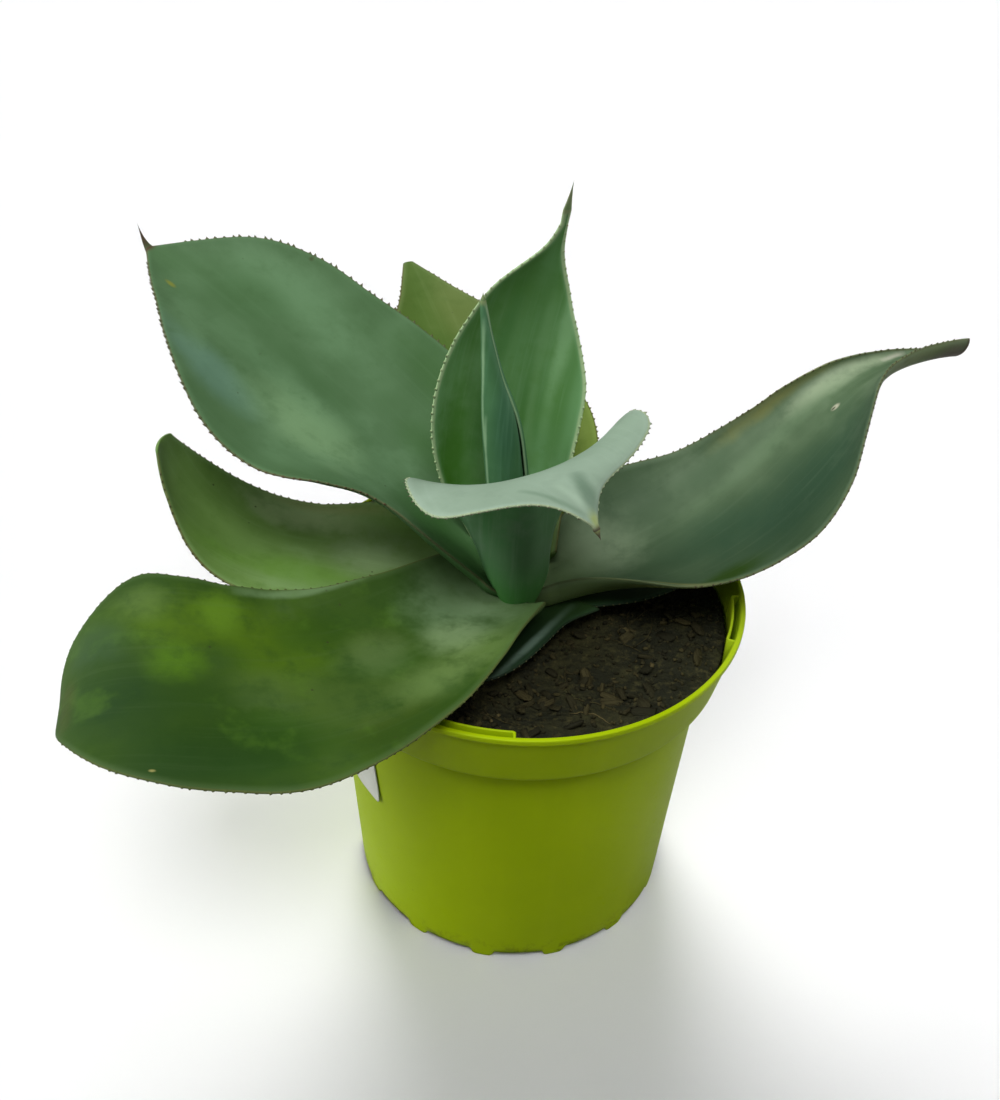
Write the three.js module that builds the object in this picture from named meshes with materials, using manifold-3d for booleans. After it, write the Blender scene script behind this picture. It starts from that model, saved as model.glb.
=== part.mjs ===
// A potted agave: a rosette of broad toothed leaves in a lime nursery pot, in millimetres, +Z up.
// The origin is the centre of the pot's underside, on the surface that it stands on.
import * as THREE from 'three';
import { mergeVertices } from 'three/addons/utils/BufferGeometryUtils.js';
import Module from 'manifold-3d';

const wasm = await Module();
wasm.setup();

// Driving dimensions
const GAP = 0.3;
const POT = {
  height: 118,
  rimRadius: 70,
  lipDepth: 2.4,
  lipWidth: 1.5,
  lipStep: 1,
  collarFoot: 98,
  collarRadius: 65.1,
  collarLedge: 0.9,
  wallTop: 96.3,
  wallRadius: 60,
  footRadius: 54.3,
  footRing: 2.6,
  wall: 1.2,
  floorLift: 3.2,
  bossRadius: 14,
  bevel: 0.5,
  sides: 56,
};
const FEET = { count: 14, first: 262.5, flat: 6, ramp: 2, height: 2.4, depth: 8 };
const DRAIN = { count: 7, radius: 4, ring: 36, sides: 14 };
const POCKET = { count: 4, first: 260.5, spread: 19, inner: 65.6, wall: 0.8, bottom: 105.5, segments: 6 };
const LABEL = { azimuth: 211, width: 25, bottom: 57, height: 32, thickness: 0.6, slant: -4 };
const SOIL = {
  level: 104,
  edgeLevel: 107.5,
  edgeRadius: 65,
  bankFrom: 35,
  bankTo: 62,
  relief: 0.55,
  inset: 1.6,
  rings: 9,
  spokes: 48,
};
const STEM = { foot: 86, top: 126.5, radius: 7, sides: 20 };
const BLADE = {
  midThickness: [6.4, 4.6, 3.8, 3.4, 2.8, 1.8],
  edgeThickness: 1.1,
  tipWidth: 2.2,
  rowSpacing: 9,
  columns: [0, 0.34, 0.66, 0.88, 1],
  toothSpacing: 5.6,
  toothWidth: 1.8,
  toothHeight: 1.3,
  toothLean: 0.35,
  toothClearance: 1.1,
  toothedFrom: 0.24,
  toothedTo: 0.95,
};

// The leaves, from the innermost out. Each list holds values at even steps from the leaf's foot to its tip:
// rise is the midrib's angle above the horizon, swing and lean turn it sideways in plan and in the blade,
// roll lifts the left margin, width is that of the flattened blade, and skew widens its left half and narrows
// its right. cup is how far the blade has turned up at the margin, and lip the same for the outer edge alone.
// thick scales the thickness at the midrib. Angles are in degrees. Left and right are as seen from the stem.
const LEAVES = [
  {
    name: 'spear', azimuth: 138, foot: [-7.5, 3, 125.8], length: 84.1, spine: 4, thick: 0.5, toothed: false,
    rise: [83.9, 82.7, 82.9, 84.1], lean: [1.9, 1.1, 0.1, -0.5], width: [28.2, 30.1, 30.2, 24.3, 12.5, 2.1],
    skew: [0, -0.01, -0.04, 0.01, 0.02], cupLeft: [157, 157, 159], cupRight: [151, 153, 162],
  },
  {
    name: 'leaf_front', azimuth: 270, foot: [-1, -9.5, 115], length: 99.3, spine: 3, thick: 0.7,
    rise: [71.1, 84.7, 87.4, 76.1, 47.2, 30.2, 0.9, -55.1], swing: [0.4, 0.8, 2.6, 5.8, 19.6, 33.7, 47.4],
    roll: [4.2, 6.5, 9.9, 11.1, 8.3, 3.8, -3.5],
    width: [11.5, 28.6, 34.7, 41.6, 54.4, 68.3, 71.5, 66.5, 48.2, 17.3, 0],
    skew: [0, -0.01, -0.06, -0.07, -0.03, 0.02, 0.06, 0.06, 0.03, 0, -0.11],
    cupLeft: [97, 100, 96, 72, 52, 22, 1, -2], cupRight: [92, 89, 79, 56, 31, 0, 5, 13],
    lipLeft: [4, -3, -14, -21, -18, -12], lipRight: [-2, -6, -10, -12, -10, 5],
  },
  {
    name: 'leaf_upright', azimuth: 88, foot: [-8, 11, 120], length: 115.4, spine: 11, thick: 0.75,
    rise: [80.4, 77.5, 75.9, 80.8, 95.3, 111.9], lean: [-2, -2.5, -4.7, -8.3, -12.4, -11.6, -6.6],
    roll: [-0.2, 0.2, 0.8, 0.9, -0.4], width: [25.7, 35.9, 44.2, 50.6, 52.8, 49.6, 39.2, 25.8, 7.4, 0],
    skew: [0.03, 0.05, 0.07, 0.11, 0.13, 0.14, 0.24, 0.41, 0.56, 0.58], cupLeft: [51, 60, 60, 55, 46],
    cupRight: [52, 60, 58, 51, 46],
  },
  {
    name: 'leaf_upper_left', azimuth: 152, foot: [-9, 5, 119], length: 154.3, spine: 6,
    rise: [35.7, 31.8, 30.1, 27.7, 21], swing: [-2, -0.4, 1.2, 0.9, 1], lean: [-1.9, -1.8, 1.1, 0.8, 1.9],
    roll: [-0.7, 4.8, 0, -0.5, -3.2], width: [35.7, 61.1, 80.1, 100.7, 101.2, 93, 77.9, 49.6, 3.5],
    skew: [0.01, -0.04, -0.1, 0.01, 0.04, 0.04, -0.03, -0.12, -0.07], cupLeft: [60, 42, 18, 26, 35],
    cupRight: [59, 32, 19, 26, 36],
  },
  {
    name: 'leaf_right', azimuth: 24, foot: [8, 2, 113], length: 162, spine: 2,
    rise: [8.6, 15.3, 27.7, 42, 39.2, 12.1, -5.8], swing: [3.7, 0.3, 0.4, 1.6, -0.1, 0.9],
    roll: [-14.2, -3.4, -2.4, -4.7, -7.6, -24.1, -44.8],
    width: [26.6, 47.7, 67.4, 73.7, 74.1, 73.3, 63.2, 48.7, 27.9, 16.5, 13],
    skew: [0.02, 0.02, -0.03, -0.18, -0.31, -0.4, -0.42, -0.32, -0.1, -0.06, 0.02],
    cupLeft: [74, 76, 47, 21, 16, 30], cupRight: [78, 36, 27, 30, 47, 55],
    lipLeft: [-1, -2, 18, 90, 143, 54],
  },
  {
    name: 'leaf_front_left', azimuth: 229, foot: [-6, -7, 115], length: 149.4, spine: 3,
    rise: [8.4, 5.9, 4.4, 10.2, 16.1, 11.8, -17.7, -91.5],
    swing: [-0.4, -1.4, -6.2, -15.2, -27.1, -35.4, -40.8, -41.3],
    roll: [1.9, 1.6, -0.5, -3.7, -7.2, -5.7, -5.5],
    width: [43.2, 48.7, 55.1, 61.9, 66.3, 71.3, 74.8, 73, 72.4, 66.6, 40, 7.2],
    skew: [-0.09, -0.04, 0.03, 0.07, 0.08, 0.1, 0.12, 0.09, 0.05, -0.03, -0.03, -0.06],
    cupLeft: [55, 30, 14, 5, 7, 4], cupRight: [60, 44, 29, 14, 10, 11],
  },
  {
    name: 'leaf_back_left', azimuth: 111.7, foot: [-3, 9, 117], length: 142.5, spine: 4,
    rise: [21.1, 17.2, 20.4, 27], swing: [-5.7, -3.3, 1.1, 6.8], roll: [1, 1.7, 1.8, -1.5],
    width: [31.1, 46.1, 58.7, 67.6, 66.4, 54.8, 25.9, 0],
    skew: [0.01, 0.01, 0, -0.01, -0.05, -0.11, -0.18, -0.15], cupLeft: [50, 25, 20, 19],
    cupRight: [59, 33, 22, 20],
  },
  {
    name: 'leaf_left', azimuth: 174.6, foot: [-9, 0, 113], length: 121.4, spine: 2,
    rise: [13.7, 8.1, 5.3, 37.7, 77.9], swing: [3.2, 2.4, 0, -3.3, -3.8], roll: [-6.6, -5.3, 0.9, 2.1, 1.9],
    width: [34.9, 47.2, 55.4, 56.2, 54.2, 48.3, 33.6, 11.6],
    skew: [-0.02, -0.02, -0.01, 0.04, 0.07, 0.1, 0.06, -0.02], cupLeft: [21, 16, 16, 15, 20],
    cupRight: [61, 31, 13, 14, 21],
  },
  {
    name: 'leaf_back', azimuth: 91, foot: [2, 9, 111], length: 104, spine: 4,
    rise: [18, 17, 23, 29], width: [28, 42, 47, 38, 0], cupLeft: [20, 15, 15, 15],
    cupRight: [20, 15, 15, 15],
  },
  {
    name: 'leaf_low_front', azimuth: 238, foot: [9, 6, 109.5], length: 58, spine: 2, thick: 0.7,
    rise: [2, 0, 2, 4], width: [34, 26, 26, 26, 20, 0], skew: [0.1, 0], cupLeft: [15, 15, 15, 15],
    cupRight: [10, 10, 15, 15],
  },
  {
    name: 'leaf_low_right', azimuth: 7, foot: [10, 10, 109], length: 49, spine: 2, thick: 0.7,
    rise: [6, 4, 4, 4], width: [26, 28, 27, 24, 15, 0], cupLeft: [10, 15, 20, 20],
    cupRight: [10, 15, 20, 20],
  },
];

// Colours, roughness and metalness
const LOOK = {
  pot: { color: '#86a51c', roughness: 0.45 },
  soil: { color: '#2a1d14', roughness: 1 },
  stem: { color: '#7c9150', roughness: 0.6 },
  label: { color: '#e6e8e2', roughness: 0.6 },
  leaf: { color: '#56734f', roughness: 0.55 },
};

const rad = THREE.MathUtils.degToRad;
const lerp = THREE.MathUtils.lerp;
const clamp = THREE.MathUtils.clamp;

// The smooth curve through evenly spaced values, read at t from 0 to 1
function along(values, t) {
  const last = values.length - 1;
  if (last === 0) return values[0];
  const x = clamp(t, 0, 1) * last;
  const i = Math.min(Math.floor(x), last - 1);
  const f = x - i;
  const b = values[i];
  const c = values[i + 1];
  const a = i > 0 ? values[i - 1] : 2 * b - c;
  const d = i + 2 <= last ? values[i + 2] : 2 * c - b;
  const square = 2 * a - 5 * b + 4 * c - d;
  const cube = 3 * b - 3 * c + d - a;
  return b + 0.5 * ((c - a) * f + square * f ** 2 + cube * f ** 3);
}

// Joining and cutting closed meshes
function toSolid(geometry) {
  const bare = geometry.clone();
  bare.deleteAttribute('normal');
  bare.deleteAttribute('uv');
  const merged = mergeVertices(bare, 1e-4);
  const vertProperties = new Float32Array(merged.attributes.position.array);
  const triVerts = new Uint32Array(merged.index.array);
  return new wasm.Manifold(new wasm.Mesh({ numProp: 3, vertProperties, triVerts }));
}

function toGeometry(solid) {
  const mesh = solid.getMesh();
  const geometry = new THREE.BufferGeometry();
  geometry.setAttribute('position', new THREE.BufferAttribute(new Float32Array(mesh.vertProperties), 3));
  geometry.setIndex(new THREE.BufferAttribute(new Uint32Array(mesh.triVerts), 1));
  return geometry;
}

// The biggest piece of a solid, without the loose scraps that a cut can leave
function largest(solid) {
  const pieces = solid.decompose();
  return pieces.reduce((best, piece) => (piece.volume() > best.volume() ? piece : best));
}

function fromTriangles(points, triangles) {
  const geometry = new THREE.BufferGeometry();
  geometry.setAttribute('position', new THREE.Float32BufferAttribute(points.flat(), 3));
  geometry.setIndex(triangles);
  return geometry;
}

// Leaves: the midrib's path, with the directions along, across and above the blade at each step
const PATH_STEPS = 240;

function midrib(leaf) {
  const places = [];
  const point = new THREE.Vector3(...leaf.foot);
  let before = null;
  for (let k = 0; k <= PATH_STEPS; k += 1) {
    const t = k / PATH_STEPS;
    const rise = rad(along(leaf.rise, t));
    const heading = rad(leaf.azimuth + along(leaf.swing ?? [0], t));
    const lean = rad(along(leaf.lean ?? [0], t));
    const level = new THREE.Vector3(Math.cos(heading), Math.sin(heading), 0);
    const left = new THREE.Vector3(-level.y, level.x, 0);
    const out = level.multiplyScalar(Math.cos(rise)).setZ(Math.sin(rise));
    const forward = out.clone().multiplyScalar(Math.cos(lean)).addScaledVector(left, Math.sin(lean));
    const side = left.clone().multiplyScalar(Math.cos(lean)).addScaledVector(out, -Math.sin(lean));
    const above = new THREE.Vector3().crossVectors(forward, side);
    const roll = rad(along(leaf.roll ?? [0], t));
    const across = side.clone().multiplyScalar(Math.cos(roll)).addScaledVector(above, Math.sin(roll));
    above.multiplyScalar(Math.cos(roll)).addScaledVector(side, -Math.sin(roll));
    if (before) point.addScaledVector(before.clone().add(forward), 0.5 * leaf.length / PATH_STEPS);
    places.push({ point: point.clone(), forward, across, above });
    before = forward;
  }
  return places;
}

// Half of the blade's cross-section: a walk outward from the midrib in equal steps that each turn a little
const WALK_STEPS = 24;

function halfSection(leaf, t, side, grow) {
  const skew = along(leaf.skew ?? [0], t);
  const width = Math.max(along(leaf.width, t), BLADE.tipWidth);
  const half = 0.5 * width * (1 + side * skew) + grow;
  const cup = rad(along(side > 0 ? leaf.cupLeft : leaf.cupRight, t));
  const lip = rad(along((side > 0 ? leaf.lipLeft : leaf.lipRight) ?? [0], t));
  const walk = [{ x: 0, y: 0, turn: 0 }];
  for (let k = 0; k < WALK_STEPS; k += 1) {
    const middle = (k + 0.5) / WALK_STEPS;
    const end = (k + 1) / WALK_STEPS;
    const turn = cup * middle + lip * middle ** 3;
    const last = walk[k];
    walk.push({
      x: last.x + (half / WALK_STEPS) * Math.cos(turn),
      y: last.y + (half / WALK_STEPS) * Math.sin(turn),
      turn: cup * end + lip * end ** 3,
    });
  }
  return walk;
}

// One point of the blade: t runs along it, v across it from -1 to 1, and face is 1 above and -1 below.
// A blade that grows for a cut does so at its foot too.
function bladePoint(leaf, places, sections, t, v, face, grow) {
  const place = places[Math.round(t * PATH_STEPS)];
  const side = v < 0 ? -1 : 1;
  const step = sections(t, side)[Math.round(Math.abs(v) * WALK_STEPS)];
  const bulge = 1 - v * v;
  const middle = Math.max(along(BLADE.midThickness, t) * (leaf.thick ?? 1), BLADE.edgeThickness);
  const thickness = lerp(BLADE.edgeThickness, middle, bulge) + 2 * grow;
  const lift = 0.5 * face * thickness;
  const sideways = side * (step.x - lift * Math.sin(step.turn));
  const upward = step.y + lift * Math.cos(step.turn);
  const backward = t === 0 ? grow : 0;
  const point = place.point.clone().addScaledVector(place.forward, -backward);
  return point.addScaledVector(place.across, sideways).addScaledVector(place.above, upward);
}

// The places along a margin: every row, and the two sides of every tooth
function marginStops(leaf, rows, toothed) {
  const stops = [];
  for (let i = 0; i <= rows; i += 1) stops.push({ t: i / rows, tooth: false });
  if (!toothed) return stops;
  const teeth = Math.round(((BLADE.toothedTo - BLADE.toothedFrom) * leaf.length) / BLADE.toothSpacing);
  const half = (0.5 * BLADE.toothWidth) / leaf.length;
  const clearance = (BLADE.toothClearance * BLADE.toothWidth) / leaf.length;
  const kept = [];
  const middles = [];
  for (let k = 0; k < teeth; k += 1) {
    middles.push(lerp(BLADE.toothedFrom, BLADE.toothedTo, (k + 0.5) / teeth));
  }
  for (const stop of stops) {
    if (middles.every((middle) => Math.abs(stop.t - middle) > clearance)) kept.push(stop);
  }
  for (const middle of middles) {
    kept.push({ t: middle - half, tooth: true });
    kept.push({ t: middle + half, tooth: false });
  }
  return kept.sort((a, b) => a.t - b.t);
}

// A closed leaf: two faces in like triangles, the margins with their teeth, the foot and the terminal spine
function leafGeometry(leaf, grow = 0) {
  const plain = grow > 0;
  const toothed = !plain && leaf.toothed !== false;
  const places = midrib(leaf);
  const cache = new Map();
  const sections = (t, side) => {
    const key = `${Math.round(t * PATH_STEPS)} ${side}`;
    if (!cache.has(key)) cache.set(key, halfSection(leaf, t, side, grow));
    return cache.get(key);
  };
  const rows = Math.max(6, Math.round(leaf.length / BLADE.rowSpacing));
  const inner = BLADE.columns.slice(0, -1);
  const across = [...inner.slice(1).reverse().map((v) => -v), ...inner];
  const points = [];
  const triangles = [];
  const add = (t, v, face) => {
    const p = bladePoint(leaf, places, sections, t, v, face, grow);
    points.push([p.x, p.y, p.z]);
    return points.length - 1;
  };
  const tri = (a, b, c, flip) => triangles.push(...(flip ? [a, c, b] : [a, b, c]));
  const stops = marginStops(leaf, rows, toothed);
  const faces = [1, -1].map((face) => {
    const grid = [];
    for (let i = 0; i <= rows; i += 1) grid.push(across.map((v) => add(i / rows, v, face)));
    const right = stops.map((stop) => add(stop.t, -1, face));
    const left = stops.map((stop) => add(stop.t, 1, face));
    return { grid, right, left };
  });
  const [up, down] = faces;

  // Both faces
  for (const [face, flip] of [[up, false], [down, true]]) {
    for (let i = 0; i < rows; i += 1) {
      for (let j = 0; j + 1 < across.length; j += 1) {
        const [a, b] = [face.grid[i][j], face.grid[i + 1][j]];
        const [c, d] = [face.grid[i + 1][j + 1], face.grid[i][j + 1]];
        tri(a, b, c, flip);
        tri(a, c, d, flip);
      }
    }
    const sides = [[face.left, across.length - 1, flip], [face.right, 0, !flip]];
    for (const [margin, column, turned] of sides) {
      let i = 0;
      let k = 0;
      while (i < rows || k < stops.length - 1) {
        const nextRow = i < rows ? (i + 1) / rows : 2;
        const nextStop = k < stops.length - 1 ? stops[k + 1].t : 2;
        const here = face.grid[i][column];
        if (nextRow <= nextStop) {
          tri(here, face.grid[i + 1][column], margin[k], turned);
          i += 1;
        } else {
          tri(here, margin[k + 1], margin[k], turned);
          k += 1;
        }
      }
    }
  }

  // The margins: a tooth is a small pyramid on its stretch of the edge
  for (const [side, over, under] of [[1, up.left, down.left], [-1, up.right, down.right]]) {
    for (let k = 0; k + 1 < stops.length; k += 1) {
      const loop = [over[k], over[k + 1], under[k + 1], under[k]];
      if (side < 0) loop.reverse();
      if (toothed && stops[k].tooth) {
        const t = 0.5 * (stops[k].t + stops[k + 1].t);
        const place = places[Math.round(t * PATH_STEPS)];
        const turn = sections(t, side)[WALK_STEPS].turn;
        const base = bladePoint(leaf, places, sections, t, side, 0, grow);
        base.addScaledVector(place.across, side * Math.cos(turn) * BLADE.toothHeight);
        base.addScaledVector(place.above, Math.sin(turn) * BLADE.toothHeight);
        base.addScaledVector(place.forward, BLADE.toothLean * BLADE.toothHeight);
        points.push([base.x, base.y, base.z]);
        const tip = points.length - 1;
        for (let e = 0; e < 4; e += 1) tri(loop[e], loop[(e + 1) % 4], tip, false);
      } else {
        tri(loop[0], loop[1], loop[2], false);
        tri(loop[0], loop[2], loop[3], false);
      }
    }
  }

  // The foot is closed flat, and the tip is drawn out to the spine's point
  const end = stops.length - 1;
  const footUp = [up.right[0], ...up.grid[0], up.left[0]];
  const footDown = [down.right[0], ...down.grid[0], down.left[0]];
  for (let j = 0; j + 1 < footUp.length; j += 1) {
    tri(footUp[j], footUp[j + 1], footDown[j + 1], false);
    tri(footUp[j], footDown[j + 1], footDown[j], false);
  }
  const tipUp = [up.right[end], ...up.grid[rows], up.left[end]];
  const tipDown = [down.right[end], ...down.grid[rows], down.left[end]];
  const last = places[PATH_STEPS];
  const point = last.point.clone().addScaledVector(last.forward, plain ? grow : leaf.spine);
  points.push([point.x, point.y, point.z]);
  const apex = points.length - 1;
  const ring = [...tipUp.reverse(), ...tipDown];
  ring.forEach((vertex, k) => tri(vertex, ring[(k + 1) % ring.length], apex, false));
  return fromTriangles(points, triangles);
}

// Pot: one turned shell with a floor, a collar and a lip, and a flat boss in the middle of its underside
function potOutline() {
  const p = POT;
  const lipFoot = p.height - p.lipDepth;
  const collarTop = p.rimRadius - p.lipStep;
  const ring = p.footRadius - p.footRing;
  return [
    [0, 0],
    [p.bossRadius, 0],
    [p.bossRadius + p.wall + p.bevel, p.floorLift],
    [ring, p.floorLift],
    [ring + 2 * p.bevel, 0],
    [p.footRadius - p.bevel, 0],
    [p.footRadius, 2 * p.bevel],
    [p.wallRadius, p.wallTop],
    [p.collarRadius - p.bevel, p.collarFoot - p.collarLedge],
    [p.collarRadius, p.collarFoot],
    [collarTop, lipFoot],
    [p.rimRadius, lipFoot + p.bevel],
    [p.rimRadius, p.height - p.bevel],
    [p.rimRadius - p.bevel, p.height],
    [p.rimRadius - p.lipWidth, p.height],
    [collarTop - p.wall, lipFoot],
    [p.collarRadius - p.wall, p.collarFoot + p.collarLedge],
    [p.wallRadius - p.wall, p.wallTop + p.collarLedge],
    [p.footRadius - p.wall, p.floorLift + p.footRing],
    [ring - p.bevel, p.floorLift + p.wall],
    [p.bossRadius + p.bevel, p.floorLift + p.wall],
    [p.bossRadius - p.wall, p.wall],
    [0, p.wall],
  ];
}

function turned(outline, sides) {
  const profile = outline.map(([r, z]) => new THREE.Vector2(r, z));
  return new THREE.LatheGeometry(profile, sides).rotateX(Math.PI / 2);
}

// A ring sector standing on z, from one radius to another
function sector(inner, outer, middle, spread, bottom, top) {
  const shape = new THREE.Shape();
  const start = rad(middle - spread / 2);
  const stop = rad(middle + spread / 2);
  shape.absarc(0, 0, outer, start, stop, false);
  shape.absarc(0, 0, inner, stop, start, true);
  const form = { depth: top - bottom, bevelEnabled: false, curveSegments: POCKET.segments };
  return toSolid(new THREE.ExtrudeGeometry(shape, form).translate(0, 0, bottom));
}

// The thin U-shaped pockets that stand inside the collar, each ending in the middle of the pot's wall
function pockets() {
  const { bottom, inner, spread, wall } = POCKET;
  const top = POT.height - POT.bevel;
  const middleOfWall = 0.5 * POT.wall;
  const lipFoot = POT.height - POT.lipDepth;
  const collarTop = POT.rimRadius - POT.lipStep;
  const share = (bottom - POT.collarFoot) / (lipFoot - POT.collarFoot);
  const lower = lerp(POT.collarRadius, collarTop, share);
  const inWall = toSolid(turned([
    [0, bottom],
    [lower - middleOfWall, bottom],
    [collarTop - middleOfWall, lipFoot],
    [POT.rimRadius - 0.5 * POT.lipWidth, top],
    [0, top],
  ], POT.sides));
  const trim = 2 * THREE.MathUtils.radToDeg(wall / inner);
  const all = [];
  for (let k = 0; k < POCKET.count; k += 1) {
    const middle = POCKET.first + (k * 360) / POCKET.count;
    const shell = sector(inner, POT.rimRadius, middle, spread, bottom, top);
    const room = sector(inner + wall, POT.rimRadius + 1, middle, spread - trim, bottom - 1, top + 1);
    all.push(shell.subtract(room).intersect(inWall));
  }
  return all;
}

// The arches between the feet, as cutters
function arches() {
  const period = 360 / FEET.count;
  const perDegree = (Math.PI / 180) * POT.footRadius;
  const low = 0.5 * (period - FEET.flat) * perDegree;
  const high = low - FEET.ramp * perDegree;
  const flare = (low - high) / FEET.height;
  const arch = new THREE.Shape();
  arch.moveTo(-low - flare, -1);
  arch.lineTo(low + flare, -1);
  arch.lineTo(high, FEET.height);
  arch.lineTo(-high, FEET.height);
  const notch = new THREE.ExtrudeGeometry(arch, { depth: FEET.depth, bevelEnabled: false });
  notch.rotateX(Math.PI / 2).rotateZ(Math.PI / 2);
  notch.translate(POT.footRadius + POT.footRing - FEET.depth, 0, 0);
  const all = [];
  for (let k = 0; k < FEET.count; k += 1) {
    const angle = rad(FEET.first + (k + 0.5) * period);
    all.push(toSolid(notch.clone().rotateZ(angle)));
  }
  return all;
}

function potGeometry() {
  let pot = toSolid(turned(potOutline(), POT.sides));
  for (const pocket of pockets()) pot = pot.add(pocket);
  for (const arch of arches()) pot = pot.subtract(arch);
  for (let k = 0; k < DRAIN.count; k += 1) {
    const angle = (k * 2 * Math.PI) / DRAIN.count;
    const hole = new THREE.CylinderGeometry(DRAIN.radius, DRAIN.radius, 4 * POT.floorLift, DRAIN.sides);
    hole.rotateX(Math.PI / 2);
    hole.translate(DRAIN.ring * Math.cos(angle), DRAIN.ring * Math.sin(angle), POT.floorLift);
    pot = pot.subtract(toSolid(hole));
  }
  return toGeometry(largest(pot));
}

// Soil: fills the pot to just under the rim, with a rough top and a plain hole for the stem
function soilHeight(radius, angle) {
  const x = radius * Math.cos(angle);
  const y = radius * Math.sin(angle);
  const bank = THREE.MathUtils.smoothstep(radius, SOIL.bankFrom, SOIL.bankTo);
  const lumps = Math.sin(0.55 * x + 1.3) * Math.cos(0.48 * y);
  const grains = 0.7 * Math.sin(0.9 * x - 0.7 * y) * Math.sin(0.35 * y + 2);
  return lerp(SOIL.level, SOIL.edgeLevel, bank) + SOIL.relief * (lumps + grains);
}

function soilGeometry() {
  const p = POT;
  const { edgeRadius, inset, rings, spokes } = SOIL;
  const bottom = p.floorLift + p.wall + GAP;
  const side = [
    [p.footRadius - inset - p.footRing, bottom],
    [p.footRadius - inset, bottom + p.footRing],
    [p.wallRadius - inset, p.wallTop + 1.5 * p.collarLedge],
    [p.collarRadius - inset, p.collarFoot + 1.5 * p.collarLedge],
    [edgeRadius - p.bevel, SOIL.edgeLevel - 3 * p.bevel],
  ];
  const points = [[0, 0, SOIL.level], [0, 0, bottom]];
  const loops = [];
  for (let i = 1; i <= rings; i += 1) {
    loops.push((angle) => {
      const radius = (edgeRadius * i) / rings;
      return [radius, soilHeight(radius, angle)];
    });
  }
  for (const corner of side.reverse()) loops.push(() => corner);
  for (const loop of loops) {
    for (let s = 0; s < spokes; s += 1) {
      const angle = (s * 2 * Math.PI) / spokes;
      const [radius, z] = loop(angle);
      points.push([radius * Math.cos(angle), radius * Math.sin(angle), z]);
    }
  }
  const at = (loop, s) => 2 + loop * spokes + (s % spokes);
  const triangles = [];
  for (let s = 0; s < spokes; s += 1) {
    triangles.push(0, at(0, s), at(0, s + 1));
    for (let loop = 0; loop + 1 < loops.length; loop += 1) {
      triangles.push(at(loop, s), at(loop + 1, s), at(loop + 1, s + 1));
      triangles.push(at(loop, s), at(loop + 1, s + 1), at(loop, s + 1));
    }
    triangles.push(1, at(loops.length - 1, s + 1), at(loops.length - 1, s));
  }
  const bed = toSolid(fromTriangles(points, triangles));
  return toGeometry(largest(bed.subtract(toSolid(stemGeometry(GAP)))));
}

// Stem: the short heart that the leaves grow from, rooted in the soil
function stemGeometry(grow = 0) {
  const { foot, top, radius } = STEM;
  const outline = [
    [0, foot - grow],
    [0.5 * radius + grow, foot - grow],
    [0.85 * radius + grow, foot + 6],
    [radius + grow, foot + 14],
    [radius + grow, top - 12],
    [0.85 * radius + grow, top - 5],
    [0.55 * radius + grow, top + grow],
    [0, top + grow],
  ];
  return turned(outline, STEM.sides);
}

// Label: a small blank sticker bent round the wall
function labelGeometry() {
  const { azimuth, width, bottom, height, thickness, slant } = LABEL;
  const sheet = new THREE.BoxGeometry(width, thickness, height, 8, 1, 1);
  sheet.deleteAttribute('normal');
  sheet.deleteAttribute('uv');
  const patch = mergeVertices(sheet);
  patch.rotateY(rad(slant));
  const place = patch.attributes.position;
  for (let k = 0; k < place.count; k += 1) {
    const z = bottom + height / 2 + place.getZ(k);
    const wall = lerp(POT.footRadius, POT.wallRadius, z / POT.wallTop);
    const radius = wall + GAP + thickness / 2 - place.getY(k);
    const angle = rad(azimuth) + place.getX(k) / wall;
    place.setXYZ(k, radius * Math.cos(angle), radius * Math.sin(angle), z);
  }
  return patch;
}

function mesh(name, geometry, look) {
  const material = new THREE.MeshStandardMaterial({ metalness: 0, ...look });
  const piece = new THREE.Mesh(geometry, material);
  piece.name = name;
  return piece;
}

// Each leaf gives way to the stem and to the leaves inside it where their feet crowd together
const agave = new THREE.Group();
agave.add(mesh('pot', potGeometry(), LOOK.pot));
agave.add(mesh('soil', soilGeometry(), LOOK.soil));
agave.add(mesh('stem', stemGeometry(), LOOK.stem));
agave.add(mesh('label', labelGeometry(), LOOK.label));
const inTheWay = [toSolid(stemGeometry(GAP))];
for (const leaf of LEAVES) {
  let blade = toSolid(leafGeometry(leaf));
  for (const cutter of inTheWay) blade = blade.subtract(cutter);
  agave.add(mesh(leaf.name, toGeometry(largest(blade)), LOOK.leaf));
  inTheWay.push(toSolid(leafGeometry(leaf, GAP)));
}

export default agave;
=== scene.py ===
"""Dresses a potted agave for a studio picture: toothed wax-bloomed leaves, a lime nursery pot, soil with
bark, and a blank label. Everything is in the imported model's own frame, in metres, with Z up."""

import math

import bpy
import numpy as np
from bpy.props import FloatProperty, FloatVectorProperty, IntProperty, PointerProperty
from mathutils import Matrix, Vector


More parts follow.
